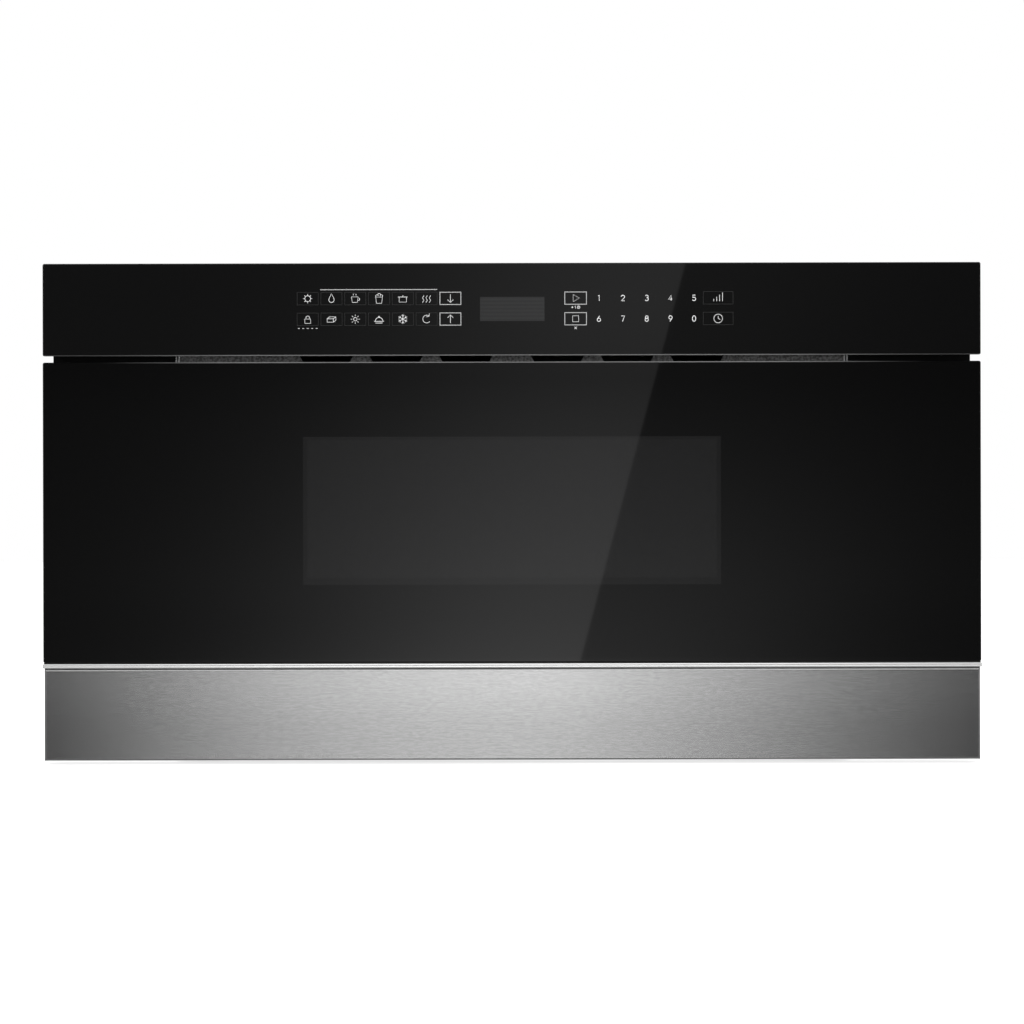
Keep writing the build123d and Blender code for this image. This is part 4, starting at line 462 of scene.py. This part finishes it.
def grille_enamel():
    """Dark grey wrinkle enamel on the vent grille."""
    m = Finish("grille_enamel")
    wrinkle = m.noise(520.0, detail=2.0, rough=0.6)
    cloud = m.noise(70.0, detail=3.0)
    tone = 0.7 * m.step(wrinkle, 0.35, 0.65) + 0.3 * cloud
    return m.done(
        Base_Color=m.mix(tone, (0.045, 0.045, 0.045), (0.30, 0.30, 0.30)),
        Roughness=0.45 + 0.2 * wrinkle,
        Normal=m.bump(wrinkle, 0.00008),
    )


FINISHES = {
    "front_glass": front_glass(),
    "stainless": stainless(),
    "bright_trim": bright_trim(),
    "black_plastic": moulded("black_plastic", (0.009, 0.009, 0.010), (0.018, 0.018, 0.019), 0.46),
    "black_enamel": painted(
        "black_enamel", (0.0025, 0.0025, 0.0026), (0.0045, 0.0045, 0.0046), 0.4, shine=0.15
    ),
    "zinc_sheet": zinc_sheet(),
    "black_rubber": moulded(
        "black_rubber", (0.012, 0.012, 0.012), (0.028, 0.027, 0.026), 0.78, 900.0, 0.00006
    ),
    "screw_steel": sheet_metal(
        "screw_steel", (0.55, 0.55, 0.53), (0.72, 0.71, 0.69), 0.26, (300.0, 300.0, 300.0)
    ),
    "cavity_enamel": painted("cavity_enamel", (0.50, 0.495, 0.48), (0.57, 0.565, 0.55), 0.3, speck=0.7),
    "ceramic": painted("ceramic", (0.66, 0.655, 0.63), (0.74, 0.735, 0.71), 0.22, speck=0.25),
    "magnetron_metal": sheet_metal("magnetron_metal", (0.45, 0.46, 0.47), (0.64, 0.64, 0.64), 0.32),
    "motor_can": sheet_metal(
        "motor_can", (0.50, 0.50, 0.49), (0.68, 0.68, 0.66), 0.3, (900.0, 12.0, 900.0)
    ),
    "transformer_iron": transformer_iron(),
    "circuit_board": circuit_board(),
    "display": moulded("display", (0.02, 0.022, 0.025), (0.035, 0.037, 0.04), 0.3),
    "lamp_housing": sheet_metal("lamp_housing", (0.52, 0.52, 0.51), (0.68, 0.68, 0.67), 0.34),
    "seal_rubber": moulded("seal_rubber", (0.10, 0.10, 0.10), (0.15, 0.15, 0.15), 0.7, 900.0, 0.00006),
    "cutout_body": moulded("cutout_body", (0.03, 0.022, 0.018), (0.06, 0.05, 0.045), 0.42),
    "rail_steel": sheet_metal(
        "rail_steel", (0.50, 0.51, 0.52), (0.70, 0.70, 0.69), 0.27, (700.0, 9.0, 700.0)
    ),
    "bracket_steel": sheet_metal(
        "bracket_steel", (0.44, 0.45, 0.46), (0.62, 0.62, 0.61), 0.36, (700.0, 9.0, 700.0)
    ),
    "white_acetal": moulded("white_acetal", (0.70, 0.69, 0.65), (0.80, 0.79, 0.75), 0.34, 1200.0, 0.00001),
    "antenna_metal": sheet_metal("antenna_metal", (0.60, 0.60, 0.60), (0.76, 0.76, 0.75), 0.3),
    "screen_steel": painted("screen_steel", (0.012, 0.012, 0.012), (0.02, 0.02, 0.02), 0.4),
    "clear_glass": clear("clear_glass", (0.80, 0.86, 0.83), 0.02),
    "basket_plastic": moulded(
        "basket_plastic", (0.23, 0.228, 0.222), (0.30, 0.297, 0.29), 0.42, 1500.0, 0.00002
    ),
    "tray_glass": frosted_tray(),
}
for part in frame["record"]["subparts"]:
    slots = NODES[part["node"]].data.materials
    slots.clear()
    slots.append(FINISHES[part["material_slot"]])
NODES["vent_grille"].data.materials[0] = grille_enamel()

# ---- Print on the control panel ----
PRINT_LIFT = 0.00004  # thickness of the ink
MM = 0.001
KEY_PITCH = 19.24 * MM
KEY_LEFT = -164.9 * MM
KEY_ROWS = (376.5 * MM, 359.8 * MM)
KEY_WIDTH = 17.5 * MM
KEY_HEIGHT = 10.5 * MM
BRIGHT_LINE = 0.58 * MM
FAINT_LINE = 0.4 * MM
RULE_LINE = 0.6 * MM


def add_piece(name, mesh, finish, body):
    """Puts a mesh in the scene with its finish, to move with that body."""
    mesh.materials.clear()
    mesh.materials.append(finish)
    piece = bpy.data.objects.new(name, mesh)
    bpy.context.scene.collection.objects.link(piece)
    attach(piece, body)
    return piece


def flat_mesh(name, outlines, finish):
    """A thin print on the glass from closed outlines, each a list of (x, z) in metres."""
    verts = []
    faces = []
    for outline in outlines:
        count = len(outline)
        first = len(verts)
        verts += [(x, GLASS_Y - PRINT_LIFT, z) for x, z in outline] + [(x, GLASS_Y, z) for x, z in outline]
        faces.append([first + step for step in range(count)])
        faces.append([first + count + step for step in reversed(range(count))])
        for step in range(count):
            after = (step + 1) % count
            faces.append([first + after, first + step, first + count + step, first + count + after])
    mesh = bpy.data.meshes.new(name)
    mesh.from_pydata(verts, [], faces)
    return add_piece(name, mesh, finish, "chassis")


def bar(x0, x1, z0, z1):
    """The outline of an upright rectangle."""
    return [(x0, z0), (x1, z0), (x1, z1), (x0, z1)]


def key_frame(x, z, width, height, line):
    """Four bars round a key."""
    left, right = x - width / 2, x + width / 2
    low, high = z - height / 2, z + height / 2
    return [
        bar(left, right, high - line, high),
        bar(left, right, low, low + line),
        bar(left, left + line, low + line, high - line),
        bar(right - line, right, low + line, high - line),
    ]


def key_x(column):
    """The middle of a key in the left block."""
    return KEY_LEFT + column * KEY_PITCH


START_X = 51.8 * MM
START_WIDTH = 18.1 * MM
LEVEL_X = 167.1 * MM
LEVEL_WIDTH = 24.5 * MM
RULE_LEFT = -154.7 * MM  # the long line over the keys
RULE_RIGHT = -60.2 * MM
RULE_Z = 383.7 * MM
bright = []
faint = []
for z in KEY_ROWS:
    bright += key_frame(key_x(6), z, KEY_WIDTH, KEY_HEIGHT, BRIGHT_LINE)
    bright += key_frame(START_X, z, START_WIDTH, KEY_HEIGHT, BRIGHT_LINE)
    faint += key_frame(LEVEL_X, z, LEVEL_WIDTH, KEY_HEIGHT, FAINT_LINE)
    for column in range(6):
        faint += key_frame(key_x(column), z, KEY_WIDTH, KEY_HEIGHT, FAINT_LINE)
bright.append(bar(RULE_LEFT, RULE_RIGHT, RULE_Z - RULE_LINE / 2, RULE_Z + RULE_LINE / 2))
WHITE_INK = ink("white_ink", (0.88, 0.88, 0.88), (0.96, 0.96, 0.96))
GREY_INK = ink("grey_ink", (0.46, 0.46, 0.46), (0.56, 0.56, 0.56))
FAINT_INK = ink("faint_ink", (0.010, 0.010, 0.010), (0.015, 0.015, 0.015))
flat_mesh("key_frames_bright", bright, GREY_INK)
flat_mesh("key_frames_faint", faint, FAINT_INK)

DISPLAY_LEFT = -25.5 * MM
DISPLAY_RIGHT = 26.6 * MM
DISPLAY_LOW = 358.1 * MM
DISPLAY_HIGH = 377.6 * MM
display_bar = bar(DISPLAY_LEFT, DISPLAY_RIGHT, DISPLAY_LOW, DISPLAY_HIGH)
display = flat_mesh("display_face", [display_bar], display_face())

# ---- Signs on the keys ----
SIGN = 3.9 * MM  # half the size of a sign
SIGN_LINE = 0.42 * MM
SMALL_SIGN = 1.2 * MM
SIGN_DROP = 7.4 * MM  # small signs below the middle of their key
DIGIT_LINE = 0.62 * MM
DIGIT_HEIGHT = 4.5 * MM  # between the middles of the strokes
DIGIT_X = (70.6 * MM, 90.1 * MM, 109.3 * MM, 128.5 * MM, 147.6 * MM)


def arc(x, z, radius, start, end, steps=14):
    """Points on an arc, angles in degrees."""
    angles = [math.radians(start + (end - start) * step / steps) for step in range(steps + 1)]
    return [(x + radius * math.cos(a), z + radius * math.sin(a)) for a in angles]


def circle(x, z, radius):
    return arc(x, z, radius, 0, 360, 20)


def rays(count, inner, outer, turn=0.0):
    """Short lines outward from a middle."""
    angles = [math.radians(turn + 360 * step / count) for step in range(count)]
    return [[(reach * math.cos(a), reach * math.sin(a)) for reach in (inner, outer)] for a in angles]


def gear_wheel():
    return [circle(0, 0, 0.6), *rays(8, 0.6, 0.95)]


def drop():
    return [[(0, 1), (-0.45, 0.15), *arc(0, -0.25, 0.55, 150, 390), (0.45, 0.15), (0, 1)]]


def cup():
    return [
        [(-0.8, 0.35), (-0.62, -0.8), (0.42, -0.8), (0.6, 0.35), (-0.8, 0.35)],
        arc(0.62, -0.15, 0.3, 75, -95, 8),
        [(-0.4, 0.65), (-0.4, 1.0)],
        [(0.15, 0.65), (0.15, 1.0)],
    ]


def corn_bag():
    return [
        [(-0.7, 0.3), (-0.55, -1), (0.55, -1), (0.7, 0.3), (-0.7, 0.3)],
        arc(-0.4, 0.5, 0.28, 10, 220, 8),
        arc(0.05, 0.75, 0.3, -20, 200, 8),
        arc(0.45, 0.5, 0.28, -40, 160, 8),
    ]


def pot():
    return [
        [(-0.75, 0.3), (-0.75, -0.75), (0.75, -0.75), (0.75, 0.3)],
        [(-1, 0.3), (1, 0.3)],
        [(0, 0.3), (0, 0.65)],
    ]


def waves():
    wave = [(-0.15, -0.85), (0.15, -0.4), (-0.15, 0.1), (0.15, 0.6)]
    return [[(x + shift, z) for x, z in wave] for shift in (-0.7, 0, 0.7)]


def arrow(way):
    return [
        [(0, 0.85 * way), (0, -0.85 * way)],
        [(-0.6, -0.25 * way), (0, -0.85 * way), (0.6, -0.25 * way)],
    ]


def padlock():
    return [
        [(-0.6, 0.05), (-0.6, -0.85), (0.6, -0.85), (0.6, 0.05), (-0.6, 0.05)],
        arc(0, 0.3, 0.38, 200, -20, 10),
    ]


def soft_block():
    return [
        [(-0.9, -0.6), (-0.9, 0.1), (-0.4, 0.5), (0.9, 0.5), (0.9, -0.2), (0.4, -0.6), (-0.9, -0.6)],
        [(-0.9, 0.1), (0.4, 0.1), (0.9, 0.5)],
        [(0.4, 0.1), (0.4, -0.6)],
    ]


def sun():
    return [circle(0, 0, 0.36), *rays(8, 0.65, 0.95)]


def covered_dish():
    return [
        arc(0, -0.45, 0.8, 0, 180, 12),
        [(-1, -0.45), (1, -0.45)],
        [(-0.75, -0.8), (0.75, -0.8)],
        circle(0, 0.5, 0.1),
    ]


def snowflake():
    barbs = []
    for angle in (math.radians(30 + 60 * step) for step in range(6)):
        left, right = angle - 0.32, angle + 0.32
        barbs.append([
            (0.9 * math.cos(left), 0.9 * math.sin(left)),
            (0.55 * math.cos(angle), 0.55 * math.sin(angle)),
            (0.9 * math.cos(right), 0.9 * math.sin(right)),
        ])
    return [*rays(6, 0.0, 1.0, turn=30), *barbs]


def again():
    return [arc(0, 0, 0.8, 50, 320, 18), [(-0.05, 0.45), (0.52, 0.6), (0.55, 1.15)]]


def play():
    return [[(-0.5, -0.75), (-0.5, 0.75), (0.75, 0), (-0.5, -0.75)]]


def stop():
    return [[(-0.62, -0.62), (-0.62, 0.62), (0.62, 0.62), (0.62, -0.62), (-0.62, -0.62)]]


def levels():
    return [[(x, -0.7), (x, -0.7 + 0.45 * (step + 1))] for step, x in enumerate((-0.9, -0.3, 0.3, 0.9))]


def clock():
    return [circle(0, 0, 0.9), [(0, 0.55), (0, 0), (0.42, -0.2)]]


def plus_one():
    """A plus, a figure 1 and a small clock."""
    return [
        [(-2.9, 0), (-1.5, 0)],
        [(-2.2, -0.7), (-2.2, 0.7)],
        [(-0.6, 0.5), (-0.1, 0.9), (-0.1, -0.9)],
        circle(2, 0, 0.9),
        [(2, 0.5), (2, 0), (2.4, 0)],
    ]


def cross():
    return [[(-0.4, -0.4), (0.4, 0.4)], [(-0.4, 0.4), (0.4, -0.4)]]


def dashes():
    """A row of dashes for a key that is held down."""
    return [[(1.5 * place - 0.3, 0), (1.5 * place + 0.3, 0)] for place in (-2, -1, 0, 1, 2)]


def digit(figure):
    """One number in a box one unit high."""
    bowl = circle(0, -0.2, 0.3)
    oval = [(0.3 * x, 0.5 * z) for x, z in circle(0, 0, 1)]
    shapes = {
        0: [oval],
        1: [[(-0.14, 0.36), (0.07, 0.5), (0.07, -0.5)]],
        2: [[*arc(0, 0.21, 0.29, 170, -38), (-0.28, -0.5), (0.3, -0.5)]],
        3: [[*arc(0, 0.25, 0.25, 155, -80), *arc(0, -0.2, 0.3, 80, -155)]],
        4: [[(0.13, -0.5), (0.13, 0.5), (-0.31, -0.22), (0.31, -0.22)]],
        5: [[(0.25, 0.5), (-0.19, 0.5), (-0.24, 0.02), *arc(-0.02, -0.19, 0.31, 125, -150)]],
        6: [bowl, [(0.1, 0.5), (-0.26, -0.05)]],
        7: [[(-0.28, 0.5), (0.28, 0.5), (-0.1, -0.5)]],
        8: [circle(0, 0.255, 0.245), circle(0, -0.21, 0.29)],
        9: [[(-x, -z) for x, z in bowl], [(-0.1, -0.5), (0.26, 0.05)]],
    }
    return shapes[figure]


def signs():
    """Every sign as (lines, x, z, half size)."""
    upper = [gear_wheel(), drop(), cup(), corn_bag(), pot(), waves(), arrow(1)]
    lower = [padlock(), soft_block(), sun(), covered_dish(), snowflake(), again(), arrow(-1)]
    placed = [(lines, key_x(column), KEY_ROWS[0], SIGN) for column, lines in enumerate(upper)]
    placed += [(lines, key_x(column), KEY_ROWS[1], SIGN) for column, lines in enumerate(lower)]
    placed += [(play(), START_X, KEY_ROWS[0], SIGN), (stop(), START_X, KEY_ROWS[1], SIGN)]
    placed += [(levels(), LEVEL_X, KEY_ROWS[0], SIGN), (clock(), LEVEL_X, KEY_ROWS[1], SIGN)]
    placed += [(dashes(), key_x(0), KEY_ROWS[1] - SIGN_DROP, 2 * SMALL_SIGN)]
    placed += [(cross(), START_X, KEY_ROWS[1] - SIGN_DROP, 2 * SMALL_SIGN)]
    placed += [(plus_one(), START_X, KEY_ROWS[0] - SIGN_DROP, SMALL_SIGN)]
    return placed


def line_print(name, placed, width):
    """Lines of one width as round-ended bars, pressed flat on the glass."""
    curve = bpy.data.curves.new(name, "CURVE")
    curve.dimensions = "3D"
    curve.bevel_depth = width / 2
    curve.bevel_resolution = 2
    curve.use_fill_caps = True
    for lines, x, z, size in placed:
        for line in lines:
            closed = math.dist(line[0], line[-1]) < 1e-6
            points = line[:-1] if closed else line
            spline = curve.splines.new("POLY")
            spline.points.add(len(points) - 1)
            spline.use_cyclic_u = closed
            for point, (px, pz) in zip(spline.points, points):
                point.co = (x + px * size, 0.0, z + pz * size, 1.0)
    source = bpy.data.objects.new(name, curve)
    bpy.context.scene.collection.objects.link(source)
    bpy.context.view_layer.update()
    mesh = bpy.data.meshes.new_from_object(source)
    bpy.data.objects.remove(source)
    flat = PRINT_LIFT / (width / 2)
    for v in mesh.vertices:
        v.co.y = GLASS_Y + min(v.co.y, 0.0) * flat
    add_piece(name, mesh, WHITE_INK, "chassis")


line_print("key_signs", signs(), SIGN_LINE)
numbers = [(digit(place + 1), x, KEY_ROWS[0], DIGIT_HEIGHT) for place, x in enumerate(DIGIT_X)]
numbers += [(digit((place + 6) % 10), x, KEY_ROWS[1], DIGIT_HEIGHT) for place, x in enumerate(DIGIT_X)]
line_print("number_keys", numbers, DIGIT_LINE)


# ---- Seals above and below the trim, dark strips as painted shadow in the gaps ----
SEAL_PLAY = 0.05 * MM
SEAL_CORNER = 0.35  # of its height
TRIM_LOW, TRIM_HIGH = (corner.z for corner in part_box("door_trim"))
GLASS_LOW, GLASS_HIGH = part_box("door_glass")
BAND_LOW, BAND_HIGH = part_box("door_band")


def shadow_seal_strip(name, finish, half, front, low, high):
    """A soft dark strip along X with rounded corners, from front to the back of the glass, as painted shadow
    in a gap.
    """
    rear = GLASS_HIGH.y
    radius = SEAL_CORNER * (high - low)
    section = []
    for y, z, start in (
        (rear - radius, high - radius, 0),
        (front + radius, high - radius, 90),
        (front + radius, low + radius, 180),
        (rear - radius, low + radius, 270),
    ):
        section += arc(y, z, radius, start, start + 90, 4)
    count = len(section)
    faces = [[count + step for step in range(count)], list(reversed(range(count)))]
    for step in range(count):
        after = (step + 1) % count
        faces.append([step, after, count + after, count + step])
    mesh = bpy.data.meshes.new(name)
    mesh.from_pydata([(x, y, z) for x in (-half, half) for y, z in section], [], faces)
    add_piece(name, mesh, FINISHES[finish], "drawer")


# painted shadow: a dark strip in the gap between the trim and the glass
shadow_seal_strip(
    "glass_shadow_seal",
    "black_rubber",
    half=GLASS_HIGH.x - 0.4 * MM,
    front=GLASS_LOW.y + 0.6 * MM,
    low=TRIM_HIGH + SEAL_PLAY,
    high=GLASS_LOW.z - SEAL_PLAY,
)
# painted shadow: a grey strip in the gap between the band and the trim, lighter than the one above
shadow_seal_strip(
    "band_shadow_seal",
    "seal_rubber",
    half=BAND_HIGH.x - 0.2 * MM,
    front=BAND_LOW.y + 0.8 * MM,
    low=BAND_HIGH.z + SEAL_PLAY,
    high=TRIM_LOW - SEAL_PLAY,
)


# ---- Floor ----
FLOOR_HALF = 12.0
FLOOR_Z = -0.0002  # just under the feet
FLOOR_LIGHT = (0.70, 0.70, 0.70)  # lifts the floor to white where it is seen


def floor_finish():
    """Pale grey to the object and near white to the camera, with the object's shadow on it."""
    m = Finish("floor")
    path = m.node("LightPath", {}, {})
    seen = m.math("MAXIMUM", path["Is Camera Ray"], path["Is Transmission Ray"])
    cloud = m.noise(3.0)
    return m.done(
        Base_Color=m.mix(cloud, (0.80, 0.80, 0.80), (0.83, 0.83, 0.83)),
        Roughness=0.7,
        Emission_Color=m.mix(seen, (0.0, 0.0, 0.0), FLOOR_LIGHT),
        Emission_Strength=1.0,
    )


floor_mesh = bpy.data.meshes.new("floor")
corners = [(x * FLOOR_HALF, y * FLOOR_HALF, FLOOR_Z) for x, y in ((-1, -1), (1, -1), (1, 1), (-1, 1))]
floor_mesh.from_pydata(corners, [], [(0, 1, 2, 3)])
floor_mesh.materials.append(floor_finish())
floor = bpy.data.objects.new("floor", floor_mesh)
bpy.context.scene.collection.objects.link(floor)
floor.visible_glossy = False


# ---- Lamps ----
def lamp(name, place, turn, width, height, watts):
    """A soft lamp. Metal and glass show the world's studio in its place."""
    light = bpy.data.lights.new(name, "AREA")
    light.shape = "RECTANGLE"
    light.size = width
    light.size_y = height
    light.energy = watts
    made = bpy.data.objects.new(name, light)
    made.location = place
    made.rotation_euler = [math.radians(angle) for angle in turn]
    made.visible_glossy = False
    made.visible_camera = False
    bpy.context.scene.collection.objects.link(made)


lamp("overhead", place=(0.0, -0.5, 2.6), turn=(0, 0, 0), width=3.0, height=2.2, watts=34.0)
lamp("front", place=(0.0, -4.4, 0.5), turn=(88, 0, 0), width=2.2, height=1.2, watts=62.0)


# ---- World ----
# u and v are metres on the plane of the glass, where a mirror there would show that direction.
RAMP_HEIGHT = 0.42  # v at the end of the ramps
LIGHT_EDGE = 0.0872  # u of the tall light's right edge at the camera's height
LIGHT_LEAN = 0.266
LIGHT_MIDDLE = 0.019  # left of its edge
LIGHT_STOPS = [(0.0, 0.95), (0.2, 0.93), (0.28, 0.80), (0.49, 0.56), (0.74, 0.31), (0.88, 0.37), (1.0, 0.37)]
FLOOR_STOPS = [(0.2, 0.105), (0.5, 0.09), (0.66, 0.08), (0.775, 0.06), (0.785, 0.12), (1.0, 0.12)]
SCREEN_HALF = 0.262  # half the width of the white screen in front of the steel
SCREEN_MORE = 0.038  # wider to the left
SOFT_TONE = 0.60  # what soft surfaces see
STEEL_TOP = 0.08125  # v above which the glass's studio takes over


def studio(world):
    """White to the camera, plain to soft surfaces, and a dark studio with one tall soft light to gloss."""
    m = Maker(world.node_tree)
    direction = m.node("TexCoord", {}, {}, output="Generated")
    dx, dy, dz = m.split(direction)
    ahead = m.math("MAXIMUM", 0.0 - dy, 0.02)
    u = CAMERA_REACH * (dx / ahead)
    v = CAMERA_HEIGHT + CAMERA_REACH * (dz / ahead)

    # The tall light, bright to the left of its sharp leaning edge, over the floor's faint glow
    edge = LIGHT_EDGE + LIGHT_LEAN * (v - CAMERA_HEIGHT)
    away = u - (edge - LIGHT_MIDDLE)
    strength = m.ramp(v / RAMP_HEIGHT, LIGHT_STOPS)
    width = 0.148 + 0.014 * m.step(v, 0.1, 0.16) - 0.016 * m.step(v, 0.3, 0.36)
    blob = m.math("EXPONENT", 0.0 - (away * away) / (2.0 * width * width))
    dim = 0.45 - 0.28 * m.step(v, 0.1, 0.33)
    behind = m.step(u - edge, -0.0006, 0.0006)
    floor_glow = m.ramp(v / RAMP_HEIGHT, FLOOR_STOPS)
    floor_glow = floor_glow * (1.0 - 0.28 * m.step(u, 0.1, 0.36))
    glass = floor_glow + strength * blob * (1.0 - behind * (1.0 - dim))

    # The white screen low in front, which the steel shows, and high above, for the trim's upper edge
    left = u < 0.0
    spread = (abs(u) / (SCREEN_HALF + SCREEN_MORE * left)) ** (2.3 + 1.3 * left)
    plateau = m.math("EXPONENT", 0.0 - spread)
    steel = plateau * (2.0 - 1.5 * m.step(v, -0.6, -0.4) + 2.1 * m.step(v, 0.01, 0.04))
    glass = glass + 2.0 * plateau * m.step(v, 0.5, 0.7)
    front = glass + (steel - glass) * (1.0 - m.step(v, STEEL_TOP - 0.00075, STEEL_TOP + 0.00075))

    # The plain room around
    front_low = m.step(0.0 - dy, -0.5, 0.3) * (1.0 - m.step(dz, -0.08, 0.12))
    around = 0.62 + 0.45 * m.step(dz, -0.1, 0.9) - 0.42 * front_low
    sector = m.step(0.0 - dy, 0.88, 0.95)
    gloss = around + (front - around) * sector

    path = m.node("LightPath", {}, {})
    tone = SOFT_TONE + (gloss - SOFT_TONE) * path["Is Glossy Ray"]
    tone = tone + (1.0 - tone) * m.math("MAXIMUM", path["Is Camera Ray"], path["Is Transmission Ray"])
    colour = m.node("CombineColor", {}, {0: tone, 1: tone, 2: tone})
    shader = m.node("Background", {}, {"Color": colour, "Strength": 1.0})
    m.node("OutputWorld", {}, {"Surface": shader})


world = bpy.data.worlds.new("studio")
world.use_nodes = True
bpy.context.scene.world = world
studio(world)
